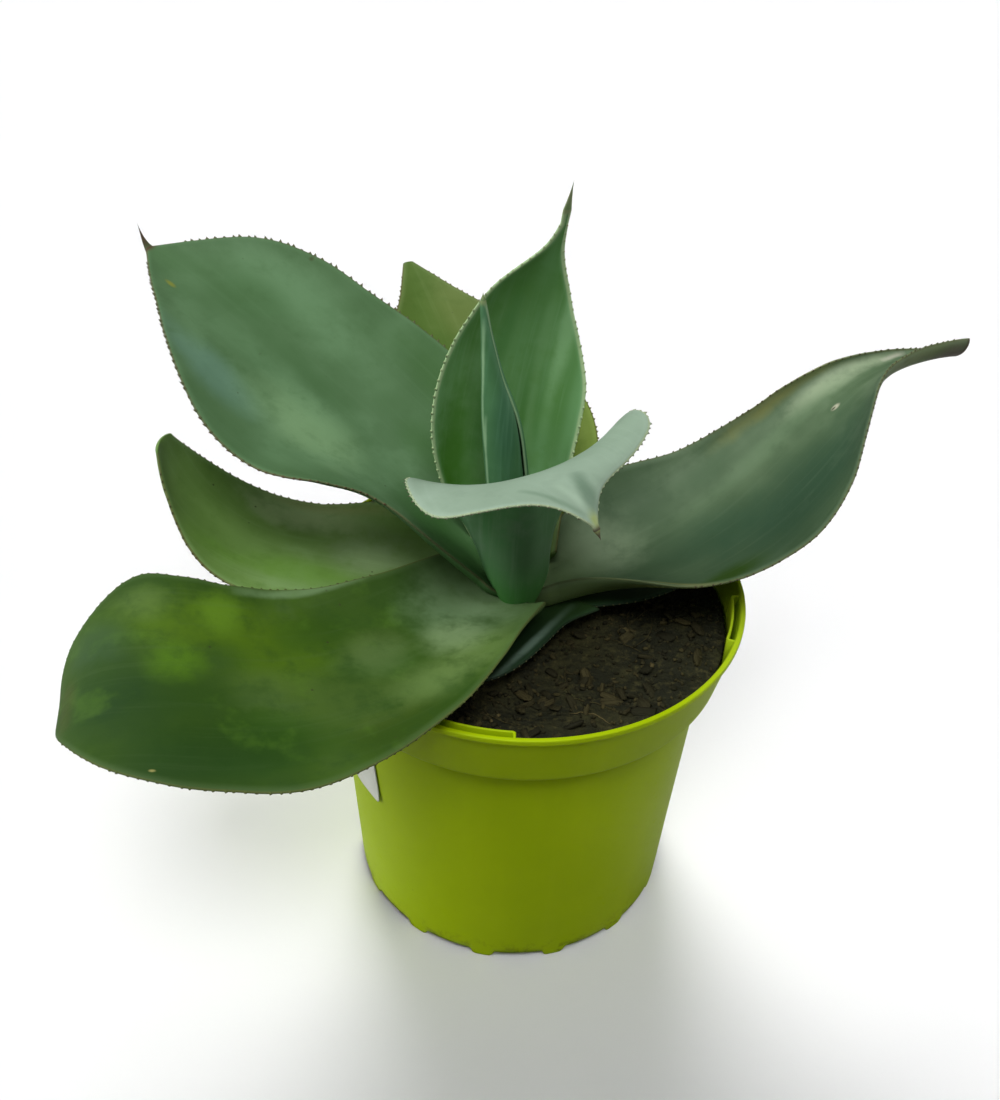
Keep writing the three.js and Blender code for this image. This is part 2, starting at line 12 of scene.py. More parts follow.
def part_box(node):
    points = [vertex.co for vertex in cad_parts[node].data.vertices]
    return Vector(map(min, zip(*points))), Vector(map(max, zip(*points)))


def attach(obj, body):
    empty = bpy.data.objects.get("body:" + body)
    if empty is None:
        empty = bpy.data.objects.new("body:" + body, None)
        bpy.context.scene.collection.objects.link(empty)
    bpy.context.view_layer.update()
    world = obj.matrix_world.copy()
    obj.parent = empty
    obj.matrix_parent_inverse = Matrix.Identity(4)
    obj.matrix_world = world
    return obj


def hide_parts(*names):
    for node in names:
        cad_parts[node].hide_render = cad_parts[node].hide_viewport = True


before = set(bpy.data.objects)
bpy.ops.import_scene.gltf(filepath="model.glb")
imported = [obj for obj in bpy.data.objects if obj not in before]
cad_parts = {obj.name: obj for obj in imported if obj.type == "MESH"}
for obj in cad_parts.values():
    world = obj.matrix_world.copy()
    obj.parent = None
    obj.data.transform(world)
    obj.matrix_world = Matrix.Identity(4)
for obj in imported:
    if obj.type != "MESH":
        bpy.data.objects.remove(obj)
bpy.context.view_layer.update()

bl_info = {
    "name": "Potted Agave",
    "version": (1, 0, 0),
    "blender": (4, 5, 0),
    "location": "3D View > Sidebar > Agave",
    "description": "Builds the leaves, pot, soil, stem, label and studio of a potted agave",
    "category": "Object",
}

# A millimetre in metres, and the seed of every random draw
MM = 0.001
SEED = 4011

# Some measures of the pot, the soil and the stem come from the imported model's own boxes
POT_LOW, POT_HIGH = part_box("pot")
SOIL_LOW, SOIL_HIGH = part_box("soil")
STEM_LOW, STEM_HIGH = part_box("stem")

# The leaves from the innermost out, in millimetres and degrees. Each list holds values at even steps from
# the foot to the tip: rise is the midrib's angle above the horizon, swing and lean turn it sideways in plan
# and in the blade, roll lifts the left margin, width is that of the flattened blade, skew widens its left
# half, cup is how far the blade has turned up at the margin, lip the same for the outer edge alone. Left is
# as seen from the stem. thick is a share of the usual thickness, spine the length of the spine past the
# blade, and spine_bend turns it up. A blunt leaf ends round instead, heel is how far the foot is drawn on
# into the heart of the rosette, and teeth_missing is the share of stunted teeth.
LEAVES = (
    dict(name="spear", look="spear", azimuth=138, foot=(-7.5, 3, 125.8), length=84.1, spine=2.5, thick=0.5,
         toothed=False,
         rise=(83.9, 82.7, 82.9, 84.1), lean=(1.9, 1.1, 0.1, -0.5), width=(32.3, 34.5, 34.4, 27.6, 14, 2.3),
         skew=(0.12, 0.11, 0.09, 0.13, 0.13), cup_left=(214, 209, 200), cup_right=(154, 155, 162)),
    dict(name="leaf_front", look="bent", azimuth=270, foot=(-1, -9.5, 115), length=99.3, spine=3, thick=0.7,
         rise=(71.1, 84.7, 87.4, 76.1, 47.2, 30.2, 0.9, -55.1), swing=(0.4, 0.8, 2.6, 5.8, 19.6, 33.7, 47.4),
         roll=(4.2, 6.5, 9.9, 11.1, 8.3, 3.8, -3.5),
         width=(11.5, 28.6, 34.7, 41.6, 54.4, 68.3, 71.5, 66.5, 48.2, 17.3, 0),
         skew=(0, -0.01, -0.06, -0.07, -0.03, 0.02, 0.06, 0.06, 0.03, 0, -0.11),
         cup_left=(97, 100, 96, 72, 52, 22, 1, -2), cup_right=(92, 89, 79, 56, 31, 0, 5, 13),
         lip_left=(4, -3, -14, -21, -18, -12), lip_right=(-2, -6, -10, -12, -10, 5)),
    dict(name="leaf_upright", look="upright", azimuth=88, foot=(-8, 11, 120), length=115.4, spine=11,
         thick=0.75,
         rise=(80.4, 77.5, 75.9, 80.8, 95.3, 111.9), lean=(-2, -2.5, -4.7, -8.3, -12.4, -11.6, -6.6),
         roll=(-0.2, 0.2, 0.8, 0.9, -0.4), width=(12, 27, 43, 50.6, 52.8, 49.6, 39.2, 25.8, 7.4, 0),
         skew=(0.03, 0.05, 0.07, 0.11, 0.13, 0.14, 0.24, 0.41, 0.56, 0.58), cup_left=(51, 60, 60, 55, 46),
         cup_right=(52, 60, 58, 51, 46)),
    dict(name="leaf_upper_left", look="broad", azimuth=152, foot=(-9, 5, 119), length=154.3, spine=9,
         spine_bend=1.1, heel=10,
         rise=(35.7, 31.8, 30.1, 27.7, 21), swing=(-2, -0.4, 1.2, 0.9, 1), lean=(-1.9, -1.8, 1.1, 0.8, 1.9),
         roll=(-0.7, 4.8, 0, -0.5, -3.2), width=(35.7, 61.1, 80.1, 100.7, 101.2, 93, 77.9, 49.6, 3.5),
         skew=(0.01, -0.04, -0.1, 0.01, 0.04, 0.04, -0.03, -0.12, -0.07), cup_left=(60, 42, 18, 26, 35),
         cup_right=(59, 32, 19, 26, 36)),
    dict(name="leaf_right", look="rolled", azimuth=24, foot=(8, 2, 113), length=162, spine=2, heel=10,
         rise=(8.6, 15.3, 27.7, 42, 39.2, 12.1, -5.8), swing=(3.7, 0.3, 0.4, 1.6, -0.1, 0.9),
         roll=(-14.2, -3.4, -2.4, -4.7, -7.6, -24.1, -44.8),
         width=(26.6, 47.7, 67.4, 73.7, 74.1, 73.3, 63.2, 48.7, 27.9, 16.5, 13),
         skew=(0.02, 0.02, -0.03, -0.18, -0.31, -0.4, -0.42, -0.32, -0.1, -0.06, 0.02),
         cup_left=(74, 76, 47, 21, 16, 30), cup_right=(78, 36, 27, 30, 47, 55),
         lip_left=(-1, -2, 18, 90, 143, 54)),
    dict(name="leaf_front_left", look="mottled", azimuth=229, foot=(-6, -7, 115), length=149.4, spine=3,
         rise=(8.4, 5.9, 4.4, 10.2, 16.1, 11.8, -17.7, -91.5),
         swing=(-0.4, -1.4, -6.2, -15.2, -27.1, -35.4, -40.8, -41.3),
         roll=(1.9, 1.6, -0.5, -3.7, -7.2, -5.7, -5.5),
         width=(43.2, 48.7, 55.1, 61.9, 66.3, 71.3, 74.8, 73, 72.4, 66.6, 40, 7.2),
         skew=(-0.09, -0.04, 0.03, 0.07, 0.08, 0.1, 0.12, 0.09, 0.05, -0.03, -0.03, -0.06),
         cup_left=(55, 30, 14, 5, 7, 4), cup_right=(60, 44, 29, 14, 10, 11), teeth_missing=0.5),
    dict(name="leaf_back_left", look="olive", azimuth=111.7, foot=(-3, 9, 117), length=142.5, spine=0.8,
         blunt=True,
         rise=(21.1, 17.2, 20.4, 27), swing=(-5.7, -3.3, 1.1, 6.8), roll=(1, 1.7, 1.8, -1.5),
         width=(31.1, 46.1, 58.7, 67.6, 66.4, 55.4, 27.5, 4.5),
         skew=(0.01, 0.01, 0, -0.01, -0.05, -0.11, -0.18, -0.15), cup_left=(50, 25, 20, 19),
         cup_right=(59, 33, 22, 20)),
    dict(name="leaf_left", look="deep", azimuth=174.6, foot=(-9, 0, 113), length=121.4, spine=2, blunt=True,
         rise=(13.7, 8.1, 5.3, 37.7, 77.9), swing=(3.2, 2.4, 0, -3.3, -3.8), roll=(-6.6, -5.3, 0.9, 2.1, 1.9),
         width=(34.9, 47.2, 55.4, 56.2, 54.2, 48.3, 33.6, 11.6),
         skew=(-0.02, -0.02, -0.01, 0.04, 0.07, 0.1, 0.06, -0.02), cup_left=(21, 16, 16, 15, 20),
         cup_right=(61, 31, 13, 14, 21)),
    dict(name="leaf_back", look="moss", azimuth=91, foot=(2, 9, 111), length=104, spine=4,
         rise=(18, 17, 23, 29), width=(28, 42, 47, 38, 0), cup_left=(20, 15, 15, 15),
         cup_right=(20, 15, 15, 15)),
    dict(name="leaf_low_front", look="shaded", azimuth=238, foot=(9, 6, 109.5), length=58, spine=2, thick=0.7,
         rise=(2, 0, 2, 4), width=(34, 26, 26, 26, 20, 0), skew=(0.1, 0), cup_left=(15, 15, 15, 15),
         cup_right=(10, 10, 15, 15)),
    dict(name="leaf_low_right", look="shaded", azimuth=7, foot=(10, 10, 109), length=49, spine=2, thick=0.7,
         rise=(6, 4, 4, 4), width=(26, 28, 27, 24, 15, 0), cup_left=(10, 15, 20, 20),
         cup_right=(10, 15, 20, 20)),
)

# The blade's thickness in mm, at the midrib from foot to tip and at the margin, its least width at the tip,
# and the part of its length whose margins bear teeth
MIDRIB_THICKNESS = (6.4, 4.6, 3.8, 3.4, 2.8, 1.8)
MARGIN_THICKNESS = 1.1
NARROWEST = 2.2
TOOTHED = (0.22, 0.965)

# The looks of the leaves: colours of the two faces, of the shade and the wax bloom that lie over them, of
# the margin, the foot and the teeth, how strong each pattern is, and the teeth's size as a share of the
# usual. mottle is the strength of the small clouds of shade and of bright, for which the bloom stands in
# where no bright is given, and rim the width in mm of the margin's own colour. A spot is (across mm, along
# mm, half width mm, half length mm, colour, strength), places as in LEAVES. A line mark is (from across,
# from along, to across, to along, half width, colour, strength), all in mm. Some spots and line marks are
# painted shade and painted highlight, as noted at each look.
LOOKS = {
    # and beside the upright leaf.
    # broad: the dark green spots nearest the foot, 22 to 62 mm along, are painted shade at the heart
    "broad": dict(upper="#51714c", lower="#46663d", dark="#42633b", bloom="#688b65", edge="#5b5a3c",
                  tooth="#52402e", foot="#39622d", dark_amount=0.7, bloom_amount=0.6, streak=0.08, band=0.3,
                  freckle=0.5, teeth=0.9,
                  spots=((30, 106, 9, 26, "#6c9188", 0.35), (9.7, 137.6, 1.3, 2.2, "#888a2f", 0.7),
                         (-37.8, 117.4, 1.4, 0.9, "#404224", 0.8), (7.7, 101.3, 1.2, 0.5, "#3b492d", 0.7),
                         (20, 72, 14, 26, "#82a578", 0.6), (-22, 112, 15, 34, "#6f946d", 0.5),
                         (-40, 62, 12, 22, "#345b24", 0.4), (-13, 117, 9, 15, "#3f6238", 0.5),
                         (-12, 42, 9, 14, "#355c28", 0.5), (14, 22, 16, 16, "#2f5a22", 0.6)),
                  line_marks=((-4, 132, 2, 60, 5, "#42653c", 0.35), (8, 120, 11, 60, 7, "#6c916a", 0.35))),
    # deep: the pale spots on the right half, 34 to 69 mm along, are painted light where the broad leaf
    # shades the blade.
    "deep": dict(upper="#688846", lower="#5d843b", dark="#4c6c2a", bloom="#87a570", edge="#5a5630",
                 tooth="#3b2f1c", foot="#5b8434", dark_amount=0.55, bloom_amount=0.6, streak=0.12, band=0.25,
                 freckle=0.8, teeth=0.55, mottle=0.35,
                 spots=((-4, 42, 12, 22, "#4d6136", 0.5), (-16, 69, 8, 20, "#74885a", 0.5),
                        (-27.7, 45, 1.6, 1.1, "#231d11", 0.9), (12, 60, 9, 20, "#5f8a2c", 0.55),
                        (16, 88, 6, 14, "#577f2a", 0.5), (-2, 34, 14, 24, "#7b9268", 0.6),
                        (-16, 68, 9, 26, "#93a878", 0.7), (-24, 62, 4, 34, "#8a8c5c", 0.4)),
                 line_marks=()),
    # mottled: the darkest green spots on the left half, 57 to 126 mm along, are painted shade on the lower
    # part of the leaf, and the first line mark, along the right margin, is a painted highlight on that lit
    # margin.
    "mottled": dict(upper="#395514", lower="#3b5620", dark="#244111", bloom="#576f45", edge="#505a2c",
                    tooth="#4a4a28", foot="#678554", bright="#4f7322", dark_amount=0.65, bloom_amount=0.35,
                    streak=0.08, band=0.15, freckle=0.7, teeth=0.45, mottle=0.55,
                    spots=((-19, 104, 13, 26, "#4b6a0a", 0.75), (-10, 78, 14, 22, "#48660a", 0.7),
                           (-20, 50, 10, 16, "#2d4910", 0.55), (24, 86, 12, 16, "#2e4f0c", 0.6),
                           (-2, 50, 9, 13, "#4c581e", 0.4), (30, 58, 10, 14, "#49581a", 0.4),
                           (-14, 62, 10, 10, "#234108", 0.55), (10, 104, 17, 18, "#1f3d0a", 0.6),
                           (6, 126, 18, 14, "#213d19", 0.65), (32, 108, 9, 20, "#213d1a", 0.6),
                           (-12, 130, 10, 10, "#324d2d", 0.65), (-4, 16, 22, 18, "#6d8963", 0.7),
                           (2, 6, 14, 12, "#8da882", 0.7), (20, 34, 10, 26, "#698349", 0.6),
                           (14, 66, 14, 20, "#4b622b", 0.4), (-14, 72, 9, 9, "#2e4d0e", 0.55),
                           (-6, 96, 6, 8, "#2b4912", 0.45), (16, 118, 14, 12, "#1b3816", 0.5),
                           (32, 92, 6, 10, "#234310", 0.5), (-24, 118, 7, 9, "#5b753b", 0.4),
                           (4, 84, 7, 12, "#4e6829", 0.4), (32, 57, 7, 18, "#1d3d02", 0.6),
                           (27, 96, 9, 24, "#1e3f0e", 0.5), (20, 86, 8, 10, "#2b5204", 0.4),
                           (0, 51, 10, 14, "#5b7a4c", 0.3), (7, 27, 10, 12, "#8fa878", 0.4),
                           (-22, 96, 9, 9, "#5f8420", 0.5), (-3, 108, 8, 9, "#56800f", 0.45),
                           (24, 92, 12, 18, "#1a3608", 0.45), (34, 111.9, 0.5, 0.8, "#989458", 0.8)),
                    line_marks=((-31, 92, -29, 26, 1.8, "#7d9a70", 0.5),
                             (-4, 138, 16, 136, 3, "#4a4523", 0.35))),
    "upright": dict(upper="#62915a", lower="#5c8659", dark="#4a7a2e", bloom="#94bf92", edge="#acc294",
                    tooth="#8f9a72", foot="#65973d", dark_amount=0.45, bloom_amount=0.35, streak=0.12,
                    band=0.6, freckle=0.2, teeth=0.6, rim=1.4,
                    spots=((21, 34, 8, 26, "#366908", 0.7), (-10, 76, 3.6, 30, "#86b27e", 0.7),
                           (-20, 56, 5, 36, "#6b9966", 0.6), (8, 70, 8, 26, "#76a672", 0.3),
                           (-3, 50, 6, 24, "#3f6f30", 0.4), (-14, 52, 5, 24, "#47733b", 0.45),
                           (-4, 46, 3.6, 34, "#3c712a", 0.5)),
                    line_marks=((12, 30, 8, 92, 3, "#3c7332", 0.4), (-5, 30, -3, 90, 2.5, "#92be88", 0.25))),
    "spear": dict(upper="#3e6a3f", lower="#457047", dark="#325a39", bloom="#639071", edge="#86a07c",
                  tooth="#7a8a5c", foot="#47783d", dark_amount=0.45, bloom_amount=0.4, streak=0.2, band=0.3,
                  freckle=0.1, teeth=0.5, spots=((12, 54, 4.5, 24, "#335b42", 0.75),),
                  line_marks=((6.9, 14, 6.3, 52, 0.7, "#93b48e", 0.7), (6.3, 40, 1.8, 80, 0.7, "#93b48e", 0.7))),
    # and a pale line of painted highlight on the ridge.
    # bent: the three line marks paint a fold across the blade near its end: two dark lines of painted shade
    "bent": dict(upper="#879c89", lower="#4d824d", dark="#738876", bloom="#9aaf9e", edge="#9aa882",
                 tooth="#4a4636", foot="#387e1e", dark_amount=0.35, bloom_amount=0.55, streak=0.14, band=0.15,
                 freckle=0.1, teeth=0.6,
                 spots=((0.4, 98, 2.2, 4, "#94a14e", 0.8), (0, 30, 4, 20, "#30522f", 0.4)),
                 line_marks=((5.6, 80, 1.2, 96, 2.8, "#4f6854", 0.7), (-11, 79, -2, 95.5, 1.3, "#57735c", 0.5),
                          (-2, 83, 0, 96, 1.6, "#a1b7a2", 0.35))),
    # pale spots 4 to 18 mm into the left half, 86 to 122 mm along, a painted highlight on the ridge where the
    # lip turns.
    # rolled: the large dark spots on the right half are painted shade on the lower part of the blade, and the
    "rolled": dict(upper="#506649", lower="#6a7a4d", dark="#314930", bloom="#768a6f", edge="#5c6440",
                   tooth="#43382a", foot="#768e5e", dark_amount=0.65, bloom_amount=0.5, streak=0.08,
                   band=0.25, freckle=0.35, teeth=0.55,
                   spots=((-26, 88, 20, 44, "#2c4834", 0.8), (-14, 56, 14, 22, "#324f38", 0.6),
                          (13, 68, 6, 14, "#3c5639", 0.5), (-39, 50, 6.5, 13, "#294408", 0.9),
                          (8, 122, 6, 26, "#93a385", 0.75), (4, 86, 5, 34, "#677f60", 0.45),
                          (18, 108, 5, 30, "#888c55", 0.85), (2, 158, 9, 12, "#655651", 0.75),
                          (8, 24, 18, 15, "#839777", 0.7), (-5.7, 111.3, 1.1, 1.5, "#bbb9a2", 0.8),
                          (-5.6, 110.6, 0.45, 0.8, "#342d24", 0.9)),
                   line_marks=((6, 135, 7, 145, 1.6, "#b4b3a4", 0.6), (-44, 46, -22, 20, 1.4, "#978e4c", 0.4))),
    "olive": dict(upper="#516b2f", lower="#547230", dark="#3a5616", bloom="#778958", edge="#5a5630",
                  tooth="#40321c", foot="#46632c", dark_amount=0.45, bloom_amount=0.5, streak=0.1, band=0.2,
                  freckle=0.5, teeth=0.55,
                  spots=((-14, 118, 14, 26, "#7a7a48", 0.2), (16, 128, 12, 12, "#696738", 0.2)),
                  line_marks=((-24, 60, -20, 130, 2.5, "#84784a", 0.15),)),
    "moss": dict(upper="#647a2f", lower="#5e782d", dark="#416214", bloom="#82994e", edge="#5a5a2c",
                 tooth="#4c3a22", foot="#5e7d2d", dark_amount=0.4, bloom_amount=0.3, streak=0.14, band=0.2,
                 freckle=0.4, teeth=0.5, spots=(), line_marks=()),
    # painted highlight on a lit margin.
    # shaded: its dark colours are painted shade for these low leaves under the others, and its line mark is a
    "shaded": dict(upper="#243c22", lower="#2f4a29", dark="#192e16", bloom="#3c5a44", edge="#1d2b1c",
                   tooth="#5a5a3e", foot="#375428", dark_amount=0.5, bloom_amount=0.2, streak=0.1, band=0.2,
                   freckle=0.4, teeth=0.4, spots=((0, 22, 11, 30, "#1d331b", 0.6),),
                   line_marks=((10.6, 2, 10.2, 58, 1.7, "#7f9a88", 0.8),)),
}

# The view of the picture: place, aim and roll of the camera, and its focal length for a frame of 1000 by 1100
VIEW = dict(target_height=60, distance=420, elevation=43.8, pitch=-7.8, yaw=-1.45, roll=2.25,
            focal_pixels=1207, frame_height=1100)


def to_linear(hexcode):
    """Linear red, green, blue and alpha of a #rrggbb colour: the usual sRGB curve, undone."""
    c = np.array([int(hexcode[k:k + 2], 16) for k in (1, 3, 5)]) / 255
    c = np.where(c <= 0.04045, c / 12.92, ((c + 0.055) / 1.055) ** 2.4)
    return (*c.tolist(), 1.0)


def unit(vectors):
    """Each vector divided by its own length."""
    return vectors / np.maximum(np.linalg.norm(vectors, axis=-1, keepdims=True), 1e-12)


def smoothstep(low, high, x):
    """0 below low, 1 above high, and 3u^2 - 2u^3 between them."""
    u = np.clip((x - low) / (high - low), 0, 1)
    return u * u * (3 - 2 * u)


def spline(values, t):
    """The smooth curve through evenly spaced values: between two of them runs the cubic whose slope at a
    value is half the difference of that value's two neighbours."""
    v = np.atleast_1d(np.asarray(values, float))
    t = np.asarray(t, float)
    if v.size == 1:
        return np.full(t.shape, v[0])
    last = v.size - 1
    x = np.clip(t, 0, 1) * last
    i = np.minimum(x.astype(int), last - 1)
    f = x - i
    p = np.concatenate([[2 * v[0] - v[1]], v, [2 * v[-1] - v[-2]]])
    a, b, c, d = p[i], p[i + 1], p[i + 2], p[i + 3]
    return b + 0.5 * ((c - a) * f + (2 * a - 5 * b + 4 * c - d) * f ** 2 + (3 * b - 3 * c + d - a) * f ** 3)


def sample(stops, rows, at):
    """Rows of vectors read between their stops, each component on straight lines."""
    return np.stack([np.interp(at, stops, rows[:, k]) for k in range(rows.shape[1])], -1)


def around(count):
    """The angles of a full turn in count even steps."""
    return np.arange(count) * 2 * math.pi / count


def polar(radius, angle, z):
    """Points at a radius and an angle around the upright axis, at the height z."""
    return np.stack([radius * np.cos(angle), radius * np.sin(angle), z], -1)


def turned(x, y, angle):
    """Both coordinates after a turn by the angle: x cos - y sin and x sin + y cos."""
    return x * np.cos(angle) - y * np.sin(angle), x * np.sin(angle) + y * np.cos(angle)


def running_length(path):
    """The distance along a path of points, from 0 at the first of them."""
    return np.concatenate([[0], np.cumsum(np.linalg.norm(np.diff(path, axis=0), axis=1))])


def lattice_noise(x, y, seed):
    """Value noise from -1 to 1: random heights on a unit lattice, blended with 3u^2 - 2u^3 each way."""
    cells = 64
    table = np.random.default_rng(seed).uniform(-1, 1, (cells, cells))
    i = np.floor(x).astype(int)
    j = np.floor(y).astype(int)
    u = smoothstep(0, 1, x - i)
    v = smoothstep(0, 1, y - j)
    a, b = table[i % cells, j % cells], table[(i + 1) % cells, j % cells]
    c, d = table[i % cells, (j + 1) % cells], table[(i + 1) % cells, (j + 1) % cells]
    return (a * (1 - u) + b * u) * (1 - v) + (c * (1 - u) + d * u) * v


def layered_noise(x, y, seed, layers=4):
    """Lattice noise added up in layers, each with twice the frequency and half the height of the last."""
    total = np.zeros(np.broadcast(x, y).shape)
    for k in range(layers):
        total = total + lattice_noise(x * 2 ** k + 7.3 * k, y * 2 ** k - 3.1 * k, seed + k) / 2 ** k
    return total


def add_piece(name, points, faces, attributes=None, replaces=None):
    """A mesh object from points in millimetres and a list of face arrays, each of one number of corners."""
    mesh = bpy.data.meshes.new(name)
    points = np.asarray(points, float).reshape(-1, 3) * MM
    corners = np.concatenate([np.asarray(f, np.int32).ravel() for f in faces])
    sizes = np.concatenate([np.full(len(f), np.asarray(f).shape[1], np.int32) for f in faces])
    starts = np.concatenate([[0], np.cumsum(sizes)[:-1]]).astype(np.int32)
    mesh.vertices.add(len(points))
    mesh.vertices.foreach_set("co", points.ravel())
    mesh.loops.add(len(corners))
    mesh.loops.foreach_set("vertex_index", corners)
    mesh.polygons.add(len(sizes))
    mesh.polygons.foreach_set("loop_start", starts)
    mesh.update(calc_edges=True)
    mesh.validate()
    mesh.shade_smooth()
    for key, values in (attributes or {}).items():
        values = np.asarray(values, np.float32)
        if values.ndim == 2:
            layer = mesh.attributes.new(key, "FLOAT_VECTOR", "POINT")
            layer.data.foreach_set("vector", values.ravel())
        else:
            layer = mesh.attributes.new(key, "FLOAT", "POINT")
            layer.data.foreach_set("value", values)
    piece = bpy.data.objects.new(name, mesh)
    bpy.context.scene.collection.objects.link(piece)
    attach(piece, "root")
    if replaces:
        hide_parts(replaces)
    return piece


def grid_faces(rows, columns, closed=False, start=0):
    """Corner indices of the four-sided faces of a grid of points, row by row. A closed grid joins its last
    column to its first. The faces look toward (down the rows) x (along a row)."""
    i = np.arange(rows - 1)[:, None]
    j = np.arange(columns if closed else columns - 1)[None]
    k = (j + 1) % columns
    quads = np.stack([i * columns + j, (i + 1) * columns + j, (i + 1) * columns + k, i * columns + k], -1)
    return start + quads.reshape(-1, 4)


def fan(ring, centre):
    """The triangles between a closed ring of corners and one corner in its middle. They look toward the side
    from which the ring runs clockwise."""
    return np.stack([ring, np.full(ring.size, centre), np.roll(ring, -1)], -1)


# Leaves: the steps of the running sums along the midrib and across half a blade, the columns on half a face,
# and the rows of the heel and of the tip
MIDRIB_STEPS = 480
WALK = 96
HALF_COLUMNS = 24
HEEL_ROWS = 5
TIP_ROWS = 11

# The soft unevenness of a blade in mm: its height, and its cells across and along
SWELL = 0.42
SWELL_CELL = (17, 24)

# A tooth: the corners around it, and its rings' heights and sizes as shares of the tooth's height and base
TOOTH_SIDES = 8
TOOTH_LEVELS = np.array([-0.3, 0.12, 0.45, 0.75])
TOOTH_SHRINK = np.array([1.05, 0.86, 0.5, 0.22])


def midrib(leaf, t):
    """The midrib's points and its directions along, across and above the blade. The direction along is that
    of the rise and the heading, leaned sideways; the path is its running sum; roll turns the other two about
    it."""
    fine = np.linspace(0, 1, MIDRIB_STEPS + 1)
    rise = np.radians(spline(leaf["rise"], fine))
    heading = np.radians(leaf["azimuth"] + spline(leaf.get("swing", 0), fine))
    lean = np.radians(spline(leaf.get("lean", 0), fine))[:, None]
    roll = np.radians(spline(leaf.get("roll", 0), fine))[:, None]
    out = polar(np.cos(rise), heading, np.sin(rise))
    left = np.stack([-np.sin(heading), np.cos(heading), np.zeros_like(heading)], -1)
    forward = out * np.cos(lean) + left * np.sin(lean)
    side = left * np.cos(lean) - out * np.sin(lean)
    above = np.cross(forward, side)
    across = side * np.cos(roll) + above * np.sin(roll)
    above = above * np.cos(roll) - side * np.sin(roll)
    steps = 0.5 * (forward[1:] + forward[:-1]) * leaf["length"] / MIDRIB_STEPS
    path = np.asarray(leaf["foot"], float) + np.concatenate([np.zeros((1, 3)), np.cumsum(steps, 0)])
    return (sample(fine, path, t), unit(sample(fine, forward, t)), unit(sample(fine, across, t)),
            unit(sample(fine, above, t)))


def half_width(leaf, t, side):
    """Half of the flattened blade on one side: half the width, widened or narrowed by the skew."""
    return 0.5 * np.maximum(spline(leaf["width"], t), NARROWEST) * (1 + side * spline(leaf.get("skew", 0), t))


def half_section(leaf, t, v, side):
    """Half of the cross-section at each t, read at shares v of its width: x and y are the running sums of
    the cosine and sine of the turn, and the turn at a share m is cup m + lip m^3."""
    end = "left" if side > 0 else "right"
    cup = np.radians(spline(leaf["cup_" + end], t))[:, None]
    lip = np.radians(spline(leaf.get("lip_" + end, 0), t))[:, None]
    m = (np.arange(WALK) + 0.5) / WALK
    turn = cup * m + lip * m ** 3
    step = half_width(leaf, t, side)[:, None] / WALK
    none = np.zeros((t.size, 1))
    x = np.concatenate([none, np.cumsum(step * np.cos(turn), 1)], 1)
    y = np.concatenate([none, np.cumsum(step * np.sin(turn), 1)], 1)
    i = np.minimum((v * WALK).astype(int), WALK - 1)
    f = v * WALK - i
    x, y = (a[:, i] * (1 - f) + a[:, i + 1] * f for a in (x, y))
    return x, y, cup * v + lip * v ** 3


def blade(leaf, t, v):
    """The blade's middle surface, (t, v): points, the direction above it, and the direction out to the
    margin. A point is midrib + across x + above y, with a soft unevenness that grows from the midrib to the
    margin."""
    point, _, across, above = (a[:, None] for a in midrib(leaf, t))
    share = np.abs(v)
    left = half_section(leaf, t, share, 1)
    right = half_section(leaf, t, share, -1)
    side = np.where(v < 0, -1.0, 1.0)
    x, y, turn = (np.where(v < 0, r, l)[..., None] for l, r in zip(left, right))
    sideways = across * side[None, :, None]
    normal = above * np.cos(turn) - sideways * np.sin(turn)
    outward = sideways * np.cos(turn) + above * np.sin(turn)
    seed = SEED + sum(map(ord, leaf["name"]))
    wide, long = SWELL_CELL
    dip = layered_noise(side * x[..., 0] / wide + 5, t[:, None] * leaf["length"] / long, seed, 3)
    settle = smoothstep(0, 0.3, t)[:, None] * smoothstep(1, 0.9, t)[:, None]
    swell = SWELL * dip * (0.35 + 0.65 * v ** 2) * settle
    return point + sideways * x + above * y + normal * swell[..., None], normal, outward


def drawn_heel(leaf, rings):
    """The rings that draw the foot on into the heart: at a share h of the heel's length each is the first
    ring, moved back and shrunk about its middle by the root of 1 - (0.9 h)^2. Most leaves have none."""
    h = np.linspace(1, 0, HEEL_ROWS + 1)[:-1] if leaf.get("heel") else np.zeros(0)
    _, forward, _, _ = (a[0] for a in midrib(leaf, np.array([0.0])))
    heart = rings[0].mean(0)
    return (heart + (rings[0] - heart) * np.sqrt(1 - (0.9 * h) ** 2)[:, None, None]
            - forward * (leaf.get("heel", 0) * h)[:, None, None])


def drawn_tip(leaf, rings):
    """The shares s of the spine's length, the rings at them, and the point at the spine's end. The last ring
    shrinks by (1 - s)^1.4 to a spine, or by the root of 1 - s^2 on a blunt leaf, and a bent spine leaves the
    blade's direction by its bend times s^1.5."""
    s = np.linspace(0, 1, TIP_ROWS + 2)[1:-1]
    shrink = np.sqrt(1 - s ** 2) if leaf.get("blunt") else (1 - s) ** 1.4
    _, forward, _, above = (a[0] for a in midrib(leaf, np.array([1.0])))
    centre = rings[-1].mean(0)
    bend = leaf.get("spine_bend", 0)
    rise = (forward * s[:, None] + above * (bend * s ** 1.5)[:, None]) / math.hypot(1, bend)
    tip = centre + (rings[-1] - centre) * shrink[:, None, None] + leaf["spine"] * rise[:, None]
    apex = centre + leaf["spine"] * (forward + above * bend) / math.hypot(1, bend)
    return s, tip, apex


def closed_ring(upper, lower):
    """Rows of the upper face from right to left margin, then of the lower face back to the right."""
    return np.concatenate([upper, lower[:, -2:0:-1]], 1)


